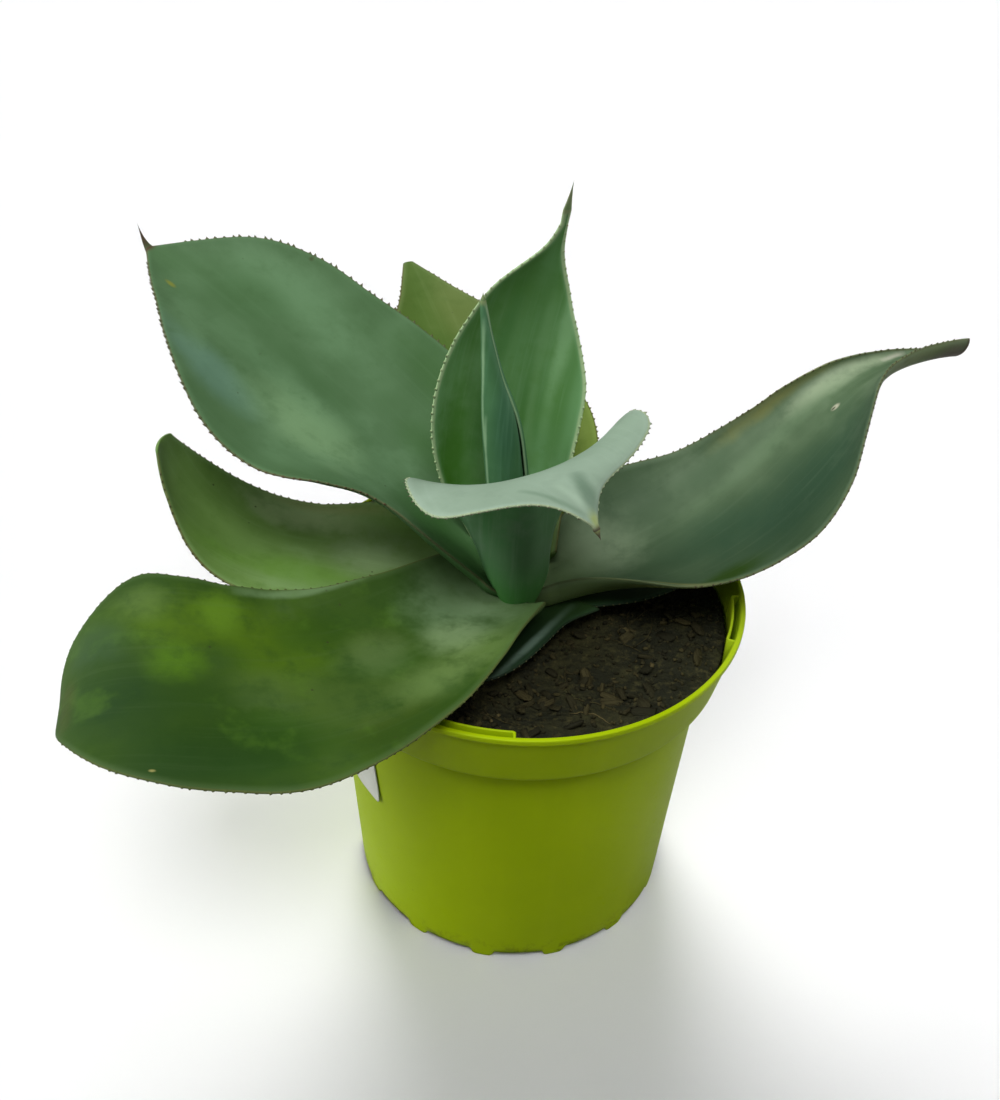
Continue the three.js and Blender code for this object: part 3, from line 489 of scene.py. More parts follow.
def leaf_skin(leaf):
    """The closed skin of a leaf as rings around its cross-section. Half the thickness is half
    (margin + (midrib - margin)(1 - v^2)), rounded off at the margin by the root of 1 - |v|^p. The heel comes
    before the blade and the tip after it. The attributes are face (1 on the upper and -1 on the lower face),
    reach (mm across, mm along, mm in from the margin) and spike (1 at the point of a spine or tooth)."""
    props = bpy.context.scene.agave_leaf
    rows = int(leaf["length"] / (props.row_spacing / MM)) + 1
    t = np.linspace(0, 1, rows)
    v = np.sin(0.5 * math.pi * np.linspace(-1, 1, 2 * HALF_COLUMNS + 1))
    middle, normal, _ = blade(leaf, t, v)
    half = np.where(v < 0, half_width(leaf, t, -1)[:, None], half_width(leaf, t, 1)[:, None])
    rib = np.maximum(spline(MIDRIB_THICKNESS, t) * leaf.get("thick", 1), MARGIN_THICKNESS)[:, None]
    power = np.clip(1.7 * half / MARGIN_THICKNESS, 6, 70)
    rounding = np.sqrt(np.maximum(1 - np.abs(v) ** power, 0))
    lift = 0.5 * (MARGIN_THICKNESS + (rib - MARGIN_THICKNESS) * (1 - v ** 2)) * rounding
    rings = closed_ring(middle + normal * lift[..., None], middle - normal * lift[..., None])
    face = closed_ring(rounding, -rounding)
    span, inside = (closed_ring(a, a) for a in (half * v, half * (1 - np.abs(v))))

    # The heel before the blade has the values of the blade's first row
    heel = drawn_heel(leaf, rings)
    rings = np.concatenate([heel, rings])
    face, span, inside = (np.concatenate([np.repeat(a[:1], len(heel), 0), a]) for a in (face, span, inside))
    t = np.concatenate([np.zeros(len(heel)), t])
    rows += len(heel)
    along = np.broadcast_to(t[:, None] * leaf["length"], span.shape)

    s, tip, apex = drawn_tip(leaf, rings)
    points = np.concatenate([rings.reshape(-1, 3), tip.reshape(-1, 3), apex[None]])
    columns = rings.shape[1]
    count = rows + s.size
    body = grid_faces(count, columns, closed=True)
    point_of_tip = fan((count - 1) * columns + np.arange(columns), count * columns)
    top = np.arange(2 * HALF_COLUMNS)
    foot = np.stack([top, top + 1, (columns - top - 1) % columns, (columns - top) % columns], -1)
    faces = [body, point_of_tip, foot[1:-1], foot[:1, :3], foot[-1:, [0, 1, 3]]]

    # The tip has fixed values, and turns to a spine from a little before the blade's end
    beyond = s.size * columns + 1
    spike = np.zeros(len(points))
    if not leaf.get("blunt"):
        near_end = smoothstep(leaf["length"] - 2.5, leaf["length"] + 1.5, t * leaf["length"])
        spike[:rows * columns] = np.repeat(near_end, columns)
        spike[rows * columns:-1] = np.repeat(0.3 + 0.7 * s, columns)
        spike[-1] = 1
    face = np.concatenate([face.ravel(), np.full(beyond, 0.5)])
    reach = np.concatenate([np.stack([span, along, inside], -1).reshape(-1, 3),
                            np.tile([0, leaf["length"], 3], (beyond, 1))])
    return points, faces, dict(face=face, reach=reach, spike=spike)


def margin_teeth(leaf, side, scale, rng):
    """The teeth of one margin. They stand at even distances along the margin's own length, a little unevenly.
    Each is a bent cone on an oval base: at height h its section is the base times 1 - h, moved out by h and
    toward the leaf's tip by lean times h^2."""
    props = bpy.context.scene.agave_leaf
    samples, unevenness, half_thick, stunted = 400, 0.22, 0.4, 0.35
    t = np.linspace(*TOOTHED, samples)
    edge, _, outward = (a[:, 0] for a in blade(leaf, t, np.array([float(side)])))
    length = running_length(edge)
    count = int(length[-1] / (props.tooth_spacing / MM))
    number = np.arange(count) + 0.5
    s = (number + rng.uniform(-unevenness, unevenness, count)) * length[-1] / count
    centre = sample(length, edge, s)
    out = unit(sample(length, outward, s))
    run = unit(sample(length, np.gradient(edge, axis=0), s))
    out = unit(out - run * (out * run).sum(-1, keepdims=True))
    flat = np.cross(out, run)
    fade = 0.55 + 0.45 * np.sin(math.pi * np.clip(number / count, 0.04, 0.96)) ** 0.6
    height = props.tooth_height / MM * scale * rng.uniform(0.7, 1.2, count) * fade
    base = props.tooth_width / MM * (0.5 + 0.5 * scale) * rng.uniform(0.85, 1.15, count) * 0.5
    height = height * np.where(rng.uniform(0, 1, count) < leaf.get("teeth_missing", 0.1), stunted, 1)
    lean = rng.uniform(0.15, 0.55, count)
    angle = around(TOOTH_SIDES)
    oval = (run[:, None, None] * np.cos(angle)[None, None, :, None] * base[:, None, None, None]
            + flat[:, None, None] * np.sin(angle)[None, None, :, None] * half_thick)
    bend = (TOOTH_LEVELS ** 2)[None, :] * (lean * height)[:, None]
    rise = TOOTH_LEVELS[None, :] * height[:, None]
    rings = (centre[:, None, None] + oval * TOOTH_SHRINK[None, :, None, None]
             + out[:, None, None] * rise[..., None, None] + run[:, None, None] * bend[..., None, None])
    peak = centre + out * height[:, None] + run * (lean * height)[:, None]
    points = np.concatenate([rings.reshape(count, -1, 3), peak[:, None]], 1)
    per = points.shape[1]
    start = (np.arange(count) * per)[:, None, None]
    k = np.arange(TOOTH_SIDES)
    walls = grid_faces(TOOTH_LEVELS.size, TOOTH_SIDES, closed=True)[:, ::-1]
    tips = fan(per - 1 - TOOTH_SIDES + k, per - 1)[:, ::-1]
    faces = [(start + walls[None]).reshape(-1, 4), (start + tips[None]).reshape(-1, 3),
             (start[:, 0] + k[::-1]).reshape(-1, TOOTH_SIDES)]
    spike = np.concatenate([np.repeat(np.clip(TOOTH_LEVELS, 0, 1), TOOTH_SIDES), [1]])
    place = np.interp(s, length, t)
    reach = np.stack([side * half_width(leaf, place, side), place * leaf["length"], np.zeros(count)], -1)
    attributes = dict(face=np.full(count * per, 0.3), reach=np.repeat(reach, per, 0),
                      spike=np.tile(spike, count))
    return points.reshape(-1, 3), faces, attributes


def join(parts):
    """Several sets of points, faces and attributes as one, with the corner indices moved on."""
    points = np.concatenate([p for p, _, _ in parts])
    start = np.concatenate([[0], np.cumsum([len(p) for p, _, _ in parts])[:-1]])
    faces = [f + s for (_, group, _), s in zip(parts, start) for f in group]
    attributes = {key: np.concatenate([a[key] for _, _, a in parts]) for key in parts[0][2]}
    return points, faces, attributes


# Finishes
class Shade:
    """A node socket that can stand in arithmetic: an expression on it adds Math nodes to its material."""

    def __init__(self, tree, socket=None):
        self.tree = tree
        self.socket = socket

    def node(self, kind, settings=None, values=None, output=0):
        """Adds any other node: its settings first, then the values or links of its sockets."""
        made = self.tree.nodes.new("ShaderNode" + kind)
        for key, value in (settings or {}).items():
            setattr(made, key, value)
        for key, value in (values or {}).items():
            if isinstance(value, Shade):
                self.tree.links.new(value.socket, made.inputs[key])
            else:
                made.inputs[key].default_value = value
        return Shade(self.tree, made.outputs[output] if made.outputs else None)

    def math(self, operation, first, second):
        """One Math node."""
        return self.node("Math", {"operation": operation}, {0: first, 1: second})

    def __add__(self, other):
        return self.math("ADD", self, other)

    def __sub__(self, other):
        return self.math("SUBTRACT", self, other)

    def __mul__(self, other):
        return self.math("MULTIPLY", self, other)

    def __pow__(self, other):
        return self.math("POWER", self, other)

    def __rsub__(self, other):
        return self.math("SUBTRACT", other, self)

    __radd__ = __add__
    __rmul__ = __mul__

    def parts(self):
        """The three numbers of a vector."""
        split = self.node("SeparateXYZ", values={0: self}).socket.node
        return [Shade(self.tree, socket) for socket in split.outputs]

    def step(self, low, high):
        """0 at low, 1 at high and smooth between, whichever of the two is larger."""
        return self.node("MapRange", {"interpolation_type": "SMOOTHSTEP"},
                         {"Value": self, "From Min": low, "From Max": high})


def vector(x, y, z=0.0):
    """A vector socket from three numbers."""
    return x.node("CombineXYZ", values={"X": x, "Y": y, "Z": z})


def noise(where, scale, detail=3.0, roughness=0.55):
    """Cloudy noise from about 0 to 1."""
    values = {"Vector": where, "Scale": scale, "Detail": detail, "Roughness": roughness}
    return where.node("TexNoise", values=values)


def blend(mask, first, second):
    """The first colour where the mask is 0 and the second where it is 1."""
    return mask.node("Mix", {"data_type": "RGBA"}, {0: mask, 6: first, 7: second}, output=2)


def start_finish(name):
    """An empty material and a Shade to build it with."""
    material = bpy.data.materials.new(name)
    material.use_nodes = True
    material.node_tree.nodes.clear()
    return material, Shade(material.node_tree)


def end_finish(shade, colour, roughness, height, depth, strength, fixed=None):
    """The surface shader: colour, roughness and a bump of the given depth in metres, and fixed values."""
    bump = shade.node("Bump", values={"Strength": strength, "Distance": depth, "Height": height})
    values = {"Base Color": colour, "Roughness": roughness, "Normal": bump, **(fixed or {})}
    surface = shade.node("BsdfPrincipled", values=values)
    shade.node("OutputMaterial", values={"Surface": surface})


def spot_mask(x, y, spot, clouds):
    """Falls from 1 to 0 with the distance from the spot's centre, measured in its half width and half length
    and made uneven by the clouds."""
    across, along, wide, long = spot
    far = (((x - across) * (1 / wide)) ** 2 + ((y - along) * (1 / long)) ** 2) ** 0.5
    return (far + clouds).step(1.25, 0.2)


def line_mark_mask(x, y, line, wide, cloud):
    """Falls from 1 to 0 with the distance from the line, made uneven by the cloud, and fades to both ends by
    the root of 4 s (1 - s), where s is the share of the line's length."""
    x0, y0, x1, y1 = line
    dx, dy = x1 - x0, y1 - y0
    share = ((x - x0) * dx + (y - y0) * dy) * (1 / (dx * dx + dy * dy))
    share = share.math("MAXIMUM", share.math("MINIMUM", share, 0.999), 0.001)
    far = ((x - x0 - share * dx) ** 2 + (y - y0 - share * dy) ** 2) ** 0.5
    far = far + wide * 1.4 * (cloud - 0.5)
    return far.step(wide * 1.3, 0.1 * wide) * (share * (1.0 - share) * 4.0) ** 0.5


def leaf_finish(name, look):
    """Waxy leaf: the two faces' colours, clouds of shade and wax bloom, soft bands and streaks along the
    blade, soft-edged spots and line marks at given places, some of them painted shade and painted
    highlight, freckles, a horny margin, a foot of its own colour, and teeth and spine darker at the tip."""
    colours = {key: to_linear(value) for key, value in look.items() if isinstance(value, str)}
    material, shade = start_finish(name)
    place = shade.node("TexCoord", output="Object")
    face = shade.node("Attribute", {"attribute_name": "face"}, output="Fac")
    x, y, inside = shade.node("Attribute", {"attribute_name": "reach"}, output="Vector").parts()
    spike = shade.node("Attribute", {"attribute_name": "spike"}, output="Fac")
    broad = noise(place, 17, 3, 0.55)
    cloud = noise(place, 55, 4, 0.6)
    patch = noise(place, 120, 4, 0.62)
    fine = noise(place, 900, 2, 0.6)
    streak = noise(vector(x * 0.5, y * 0.02, face * 0.4), 1.0, 4, 0.6)
    band = noise(vector(x * 0.11, y * 0.005, 2.7), 1.0, 2, 0.5)

    colour = blend(face.step(-0.5, 0.5), colours["lower"], colours["upper"])
    colour = blend(band.step(0.36, 0.64) * look["band"], colour, colours["dark"])
    colour = blend(broad.step(0.4, 0.68) * look["dark_amount"], colour, colours["dark"])
    bloom = broad.step(0.52, 0.3) * cloud.step(0.35, 0.6) * look["bloom_amount"]
    colour = blend(bloom, colour, colours["bloom"])
    clouds = 0.9 * (cloud - 0.5) + 0.35 * (patch - 0.5)
    # Spots: the leaf's own markings, and at some places painted shade and painted highlight
    for *spot, tint, strength in look["spots"]:
        colour = blend(spot_mask(x, y, spot, clouds) * strength, colour, to_linear(tint))
    # Line marks: the leaf's own lines, and painted shade and painted highlight along folds and lit margins
    for *line, wide, tint, strength in look["line_marks"]:
        colour = blend(line_mark_mask(x, y, line, wide, cloud) * strength, colour, to_linear(tint))
    mottle = look.get("mottle", 0.15)
    colour = blend(cloud.step(0.48, 0.72) * mottle, colour, colours["dark"])
    bright = colours.get("bright", colours["bloom"])
    colour = blend(cloud.step(0.44, 0.26) * mottle * 0.6, colour, bright)
    colour = blend(patch.step(0.5, 0.72) * (0.2 + 0.3 * mottle), colour, colours["dark"])
    colour = blend(streak.step(0.5, 0.74) * look["streak"], colour, colours["bloom"])
    speck = shade.node("TexVoronoi", values={"Vector": vector(x, y), "Scale": 0.15}, output="Distance")
    freckle = speck.step(0.075, 0.035) * noise(place, 31, 2).step(0.54, 0.62) * look["freckle"]
    colour = blend(freckle, colour, to_linear("#33331c"))
    colour = blend(y.step(24, 3) * 0.6, colour, colours["foot"])
    colour = blend(inside.step(2.6, 0.6) * 0.25, colour, colours["bloom"])
    rim = look.get("rim", 0.6)
    colour = blend(inside.step(rim, 0.3 * rim) * (0.25 + 0.9 * cloud), colour, colours["edge"])
    colour = blend(spike.step(0.05, 0.7), colour, colours["tooth"])

    roughness = 0.46 + 0.16 * cloud + 0.1 * patch
    height = 0.5 * streak + 0.25 * fine + 0.6 * patch
    end_finish(shade, colour, roughness, height, 0.0003, 0.35, {"Specular IOR Level": 0.16})
    return material


def plastic_finish(name, colour_value):
    """Lime moulded plastic: faint upright flow lines, clouded thickness, fine scuffs, a little dirt in
    specks, and a patchy darkening toward the foot. Its colour also carries painted shade on the collar, which
    faces a little downward, and painted light toward the sides, the stronger on the left."""
    material, shade = start_finish(name)
    place = shade.node("TexCoord", output="Object")
    px, py, pz = place.parts()
    lines = noise(vector(px, py, pz * 0.05), 95, 3, 0.5)
    cloud = noise(place, 24, 3, 0.6)
    grain = noise(place, 1500, 2, 0.6)
    scuff = noise(vector(px * 0.35 + pz * 0.3, py, pz), 420, 3, 0.6)
    dirt = noise(place, 210, 4, 0.7)
    low = pz.step(0.012, 0.0005)
    # Painted shade on the downward-facing collar: darker from 86 mm to just under the lip's top
    painted_collar_shade = pz.step(0.086, 0.1) * pz.step(0.1165, 0.113)
    colour = blend(cloud.step(0.35, 0.7) * 0.35, colour_value, to_linear("#8ba507"))
    colour = blend(painted_collar_shade * 0.14, colour, to_linear("#738906"))
    # Painted light toward both sides, the stronger on the left, where the key light falls
    thin = px.step(-0.022, -0.058) * 0.5 + px.step(0.04, 0.07) * 0.3
    colour = blend(thin, colour, to_linear("#c2de3c"))
    colour = blend(lines.step(0.45, 0.7) * 0.12, colour, to_linear("#aec41a"))
    colour = blend(scuff.step(0.68, 0.8) * 0.2, colour, to_linear("#b4cc3c"))
    # Dark specks of dirt all over, and a patchy darkening toward the foot, below 12 mm
    specks_and_darker_foot = dirt.step(0.68, 0.8) * 0.3 + low * dirt.step(0.5, 0.62) * 0.5
    colour = blend(specks_and_darker_foot, colour, to_linear("#3c3f10"))
    roughness = 0.34 + 0.14 * cloud + 0.2 * scuff.step(0.6, 0.8)
    height = 0.4 * lines + 0.2 * grain + 0.2 * scuff
    end_finish(shade, colour, roughness, height, 0.0002, 0.3, {"Specular IOR Level": 0.07})
    return material


def soil_finish(name):
    """Damp potting soil: near-black ground with brown fibre and crumbs at several sizes."""
    material, shade = start_finish(name)
    place = shade.node("TexCoord", output="Object")
    cloud = noise(place, 55, 4, 0.65)
    crumb = noise(place, 380, 5, 0.7)
    fibre = shade.node("TexVoronoi", values={"Vector": place, "Scale": 520.0}, output="Distance")
    colour = blend(cloud.step(0.42, 0.68), to_linear("#25261b"), to_linear("#3b3a24"))
    colour = blend(crumb.step(0.5, 0.7) * 0.7, colour, to_linear("#4c482c"))
    colour = blend(crumb.step(0.7, 0.82) * 0.5, colour, to_linear("#74693f"))
    colour = blend(fibre.step(0.25, 0.05) * 0.5, colour, to_linear("#090a06"))
    roughness = 0.75 + 0.25 * cloud
    height = crumb + 0.6 * fibre
    end_finish(shade, colour, roughness, height, 0.0012, 0.9, {"Specular IOR Level": 0.1})
    return material


def bark_finish(name):
    """Bark chips, crumbs and fibres: each has a shade of its own, with a grain along it."""
    material, shade = start_finish(name)
    tone = shade.node("Attribute", {"attribute_name": "tone"}, output="Fac")
    gx, gy, gz = shade.node("Attribute", {"attribute_name": "grain"}, output="Vector").parts()
    grain = noise(vector(gx * 0.25, gy * 2.2, gz * 2.2), 1.0, 3, 0.6)
    colour = blend(tone, to_linear("#26261a"), to_linear("#4b452b"))
    colour = blend(grain.step(0.4, 0.7) * 0.6, colour, to_linear("#1d190d"))
    colour = blend(tone.step(0.95, 0.99) * 0.6, colour, to_linear("#6e6240"))
    end_finish(shade, colour, 0.7 + 0.25 * grain, grain, 0.0006, 0.7, {"Specular IOR Level": 0.1})
    return material


def stem_finish(name):
    """The stem's flesh: pale green, with brown leaf-scar rings."""
    material, shade = start_finish(name)
    place = shade.node("TexCoord", output="Object")
    px, py, pz = place.parts()
    rings = noise(vector(px * 0.2, py * 0.2, pz), 700, 2, 0.5)
    cloud = noise(place, 150, 3, 0.6)
    colour = blend(cloud.step(0.35, 0.7), to_linear("#7d9150"), to_linear("#a3ab72"))
    colour = blend(rings.step(0.5, 0.64) * 0.7, colour, to_linear("#5b4630"))
    end_finish(shade, colour, 0.5 + 0.2 * cloud, rings, 0.0006, 0.6)
    return material


def paper_finish(name):
    """Blank white sticker paper: fine fibre and a slight, clouded yellowing."""
    material, shade = start_finish(name)
    place = shade.node("TexCoord", output="Object")
    cloud = noise(place, 90, 3, 0.6)
    fibre = noise(place, 2600, 3, 0.7)
    colour = blend(cloud.step(0.35, 0.75) * 0.5, to_linear("#e2e6dc"), to_linear("#cfd3c2"))
    colour = blend(fibre.step(0.6, 0.8) * 0.2, colour, to_linear("#b9bca8"))
    end_finish(shade, colour, 0.55 + 0.2 * fibre, fibre, 0.00008, 0.4)
    return material


def floor_finish(name, colour_value, bounce):
    """Matt pale studio floor with a trace of unevenness. It gives less light back to the pot than it
    shows."""
    material, shade = start_finish(name)
    place = shade.node("TexCoord", output="Object")
    cloud = noise(place, 3, 3, 0.5)
    colour = blend(cloud.step(0.3, 0.8) * 0.05, colour_value, to_linear("#d8dad8"))
    seen = shade.node("LightPath", output="Is Camera Ray")
    colour = blend(seen, tuple(bounce * part for part in colour_value[:3]) + (1.0,), colour)
    end_finish(shade, colour, 0.7 + 0.1 * cloud, cloud, 0.0002, 0.05, {"Specular IOR Level": 0.0})
    return material


# Sizes and colours that a user would change
class AGAVE_PG_leaf(bpy.types.PropertyGroup):
    row_spacing: FloatProperty(
        name="Row spacing", description="Distance between rows of the blade's mesh",
        default=0.0007, min=0.0003, unit="LENGTH")
    tooth_spacing: FloatProperty(
        name="Tooth spacing", description="Distance between two teeth of a margin",
        default=0.0026, min=0.001, unit="LENGTH")
    tooth_height: FloatProperty(
        name="Tooth height", description="How far a tooth stands out of the margin",
        default=0.00115, min=0.0002, unit="LENGTH")
    tooth_width: FloatProperty(
        name="Tooth width", description="Length of a tooth's base on the margin",
        default=0.0014, min=0.0002, unit="LENGTH")


class AGAVE_PG_pot(bpy.types.PropertyGroup):
    height: FloatProperty(
        name="Height", description="From the floor to the top of the lip",
        default=POT_HIGH.z - POT_LOW.z, unit="LENGTH")
    rim_radius: FloatProperty(
        name="Rim radius", description="Outer radius of the lip",
        default=0.5 * (POT_HIGH.x - POT_LOW.x), unit="LENGTH")
    collar_radius: FloatProperty(
        name="Collar radius", description="Outer radius at the collar's foot", default=0.0651, unit="LENGTH")
    collar_foot: FloatProperty(
        name="Collar foot", description="Height of the collar's lower edge", default=0.098, unit="LENGTH")
    wall_radius: FloatProperty(
        name="Wall radius", description="Outer radius of the wall under the collar",
        default=0.06, unit="LENGTH")
    foot_radius: FloatProperty(
        name="Foot radius", description="Outer radius at the foot", default=0.0543, unit="LENGTH")
    wall: FloatProperty(
        name="Wall", description="Thickness of the plastic", default=0.0012, unit="LENGTH")
    feet: IntProperty(
        name="Feet", description="Number of low feet around the foot", default=14)
    foot_height: FloatProperty(
        name="Foot height", description="Height of the arches between the feet",
        default=0.003, unit="LENGTH")
    colour: FloatVectorProperty(
        name="Colour", description="Colour of the plastic", subtype="COLOR", size=4,
        default=to_linear("#9ab305"), min=0, max=1)


class AGAVE_PG_soil(bpy.types.PropertyGroup):
    level: FloatProperty(
        name="Level", description="Height of the soil in the middle", default=0.104, unit="LENGTH")
    edge_level: FloatProperty(
        name="Edge level", description="Height of the soil at the wall", default=0.1075, unit="LENGTH")
    radius: FloatProperty(
        name="Radius", description="Radius of the soil's top",
        default=0.5 * (SOIL_HIGH.x - SOIL_LOW.x), unit="LENGTH")
    relief: FloatProperty(
        name="Relief", description="Height of the lumps", default=0.0011, unit="LENGTH")
    chips: IntProperty(name="Chips", description="Number of bark chips", default=230)
    crumbs: IntProperty(name="Crumbs", description="Number of small crumbs", default=1100)
    fibres: IntProperty(name="Fibres", description="Number of loose fibres", default=26)


class AGAVE_PG_label(bpy.types.PropertyGroup):
    width: FloatProperty(
        name="Width", description="Width of the label", default=0.025, unit="LENGTH")
    height: FloatProperty(
        name="Height", description="Height of the label", default=0.032, unit="LENGTH")
    bottom: FloatProperty(
        name="Bottom", description="Height of the label's lower edge", default=0.057, unit="LENGTH")
    azimuth: FloatProperty(
        name="Azimuth", description="Where the label's middle stands around the pot",
        default=math.radians(211), unit="ROTATION")
    slant: FloatProperty(
        name="Slant", description="How far the label leans", default=math.radians(-4), unit="ROTATION")


class AGAVE_PG_stage(bpy.types.PropertyGroup):
    floor_radius: FloatProperty(
        name="Floor radius", description="Radius of the round floor", default=4, unit="LENGTH")
    floor_colour: FloatVectorProperty(
        name="Floor colour", description="Colour of the floor", subtype="COLOR", size=4,
        default=to_linear("#f7f7f8"), min=0, max=1)
    top: FloatProperty(
        name="Top light", description="Strength of the broad light above the front", default=1.4)
    plant: FloatProperty(
        name="Plant light", default=1.9,
        description="Strength of the broad light above the left, which leaves out the floor")
    back: FloatProperty(
        name="Back light", default=3,
        description="Strength of the light behind, which falls on the floor alone and draws the shadow")
    key: FloatProperty(
        name="Key light", description="Strength of the low light on the left, for the plant", default=1.6)
    fill: FloatProperty(
        name="Fill light", description="Strength of the low light on the right, for the plant", default=0.6)
    bounce: FloatProperty(
        name="Bounce", default=0.4,
        description="Brightness of the floor as the plant sees it, as a share of that in the picture")
    sky: FloatProperty(
        name="Sky", description="Strength of the even light from all around", default=0.09)


GROUPS = (AGAVE_PG_leaf, AGAVE_PG_pot, AGAVE_PG_soil, AGAVE_PG_label, AGAVE_PG_stage)


def scene_key(group):
    """The name under which a scene holds a group of settings."""
    return group.__name__.replace("AGAVE_PG_", "agave_")


class AGAVE_OT_leaves(bpy.types.Operator):
    """Builds the leaves and the rolled spear with their teeth and spines"""

    bl_idname = "agave.leaves"
    bl_label = "Leaves"

    def execute(self, context):
        finishes = {look: leaf_finish("leaf_" + look, values) for look, values in LOOKS.items()}
        for number, leaf in enumerate(LEAVES):
            parts = [leaf_skin(leaf)]
            if leaf.get("toothed", True):
                rng = np.random.default_rng(SEED + number)
                size = LOOKS[leaf["look"]]["teeth"]
                parts += [margin_teeth(leaf, side, size, rng) for side in (1, -1)]
            points, faces, attributes = join(parts)
            name = leaf["name"].replace("leaf_", "blade_").replace("spear", "rolled_spear")
            piece = add_piece(name, points, faces, attributes, replaces=leaf["name"])
            piece.data.materials.append(finishes[leaf["look"]])
        return {"FINISHED"}


# The pot in mm and degrees: the heights of the wall's top and of the groove inside the foot ring, the mesh's
# columns for each foot, half a foot's angle where it stands and where the arch is at its full height, and
# where one foot stands
WALL_TOP = 96.3
GROOVE_TOP = 3.2
COLUMNS_PER_FOOT = 26
FOOT_HALF = (3.0, 4.6)
FIRST_FOOT = 262.5


def pot_profile(props):
    """The wall's section as radius and height: corners joined by straight lines, each corner rounded by the
    curve (1-s)^2 a + 2s(1-s) corner + s^2 b between points a and b on its two sides."""
    height, rim, collar = props.height / MM, props.rim_radius / MM, props.collar_radius / MM
    collar_foot, wall_radius, foot = props.collar_foot / MM, props.wall_radius / MM, props.foot_radius / MM
    wall = props.wall / MM
    boss, ring, lip_foot, lip, rounding = 14, foot - 2.6, height - 2.4, 1.5, 0.45
    corners = np.array([
        [boss, 0], [boss + 1.7, GROOVE_TOP], [ring, GROOVE_TOP], [ring + 1, 0], [foot - 0.3, 0], [foot, 1],
        [wall_radius, WALL_TOP], [collar - 0.5, collar_foot - 0.9], [collar, collar_foot],
        [rim - 1, lip_foot], [rim, lip_foot + 0.4], [rim, height], [rim - lip, height],
        [rim - 1 - wall, lip_foot], [collar - wall, collar_foot + 0.9], [wall_radius - wall, WALL_TOP + 0.9],
        [foot - wall, GROOVE_TOP + 2.6], [ring - 0.5, GROOVE_TOP + wall], [boss + 0.5, GROOVE_TOP + wall],
        [boss - wall, wall],
    ], float)
    before = np.vstack([[[0, 0]], corners[:-1]]) - corners
    after = np.vstack([corners[1:], [[0, wall]]]) - corners
    shorter = np.minimum(np.linalg.norm(before, axis=1), np.linalg.norm(after, axis=1))
    reach = np.minimum(shorter * 0.45, rounding)
    a = corners + unit(before) * reach[:, None]
    b = corners + unit(after) * reach[:, None]
    s = np.linspace(0, 1, 5)[None, :, None]
    arcs = (1 - s) ** 2 * a[:, None] + 2 * s * (1 - s) * corners[:, None] + s ** 2 * b[:, None]
    line = np.vstack([[[0, 0]], arcs.reshape(-1, 2), [[0, wall]]])
    length = running_length(line)
    longest_step = 3.0
    stops = np.union1d(length, np.arange(0, length[-1], longest_step))
    return sample(length, line, stops[1:-1])


def pot_shell(props):
    """The pot turned from its section, (section, around). The foot ring is lifted into arches between the
    feet: by the foot height times a smooth step of the angle from the nearest foot. Faint noise lets the wall
    waver, and a dent, a bell curve of angle and height, marks the collar."""
    profile = pot_profile(props)
    columns = props.feet * COLUMNS_PER_FOOT
    angle = around(columns)
    degrees = np.degrees(angle)[None]
    radius, z = np.repeat(profile[:, :1], columns, 1), np.repeat(profile[:, 1:], columns, 1)
    period = 360 / props.feet
    away = np.abs((degrees - FIRST_FOOT + period / 2) % period - period / 2)
    arch = smoothstep(*FOOT_HALF, away) * props.foot_height / MM
    near = (radius > props.foot_radius / MM - 4) & (z < GROOVE_TOP)
    z = np.where(near, z + arch * (1 - np.clip(z, 0, GROOVE_TOP) / GROOVE_TOP), z)
    dent_angle, dent_height, dent_depth, collar_skin = 268, 114, 0.35, 66
    dent = dent_depth * np.exp(-((degrees - dent_angle) / 1.1) ** 2 - ((z - dent_height) / 1.2) ** 2)
    waver, wall_skin = 0.15, 50
    wave = waver * lattice_noise(degrees / 30, z / 40, SEED + 5)
    radius = radius - dent * (radius > collar_skin) + wave * (radius > wall_skin)
    points = np.concatenate([polar(radius, angle, z).reshape(-1, 3), [[0, 0, 0], [0, 0, props.wall / MM]]])
    rows = len(profile)
    middle = rows * columns
    ring = np.arange(columns)
    under = fan(ring, middle)
    over = fan((rows - 1) * columns + ring, middle + 1)[:, ::-1]
    return points, [grid_faces(rows, columns, closed=True)[:, ::-1], under, over]


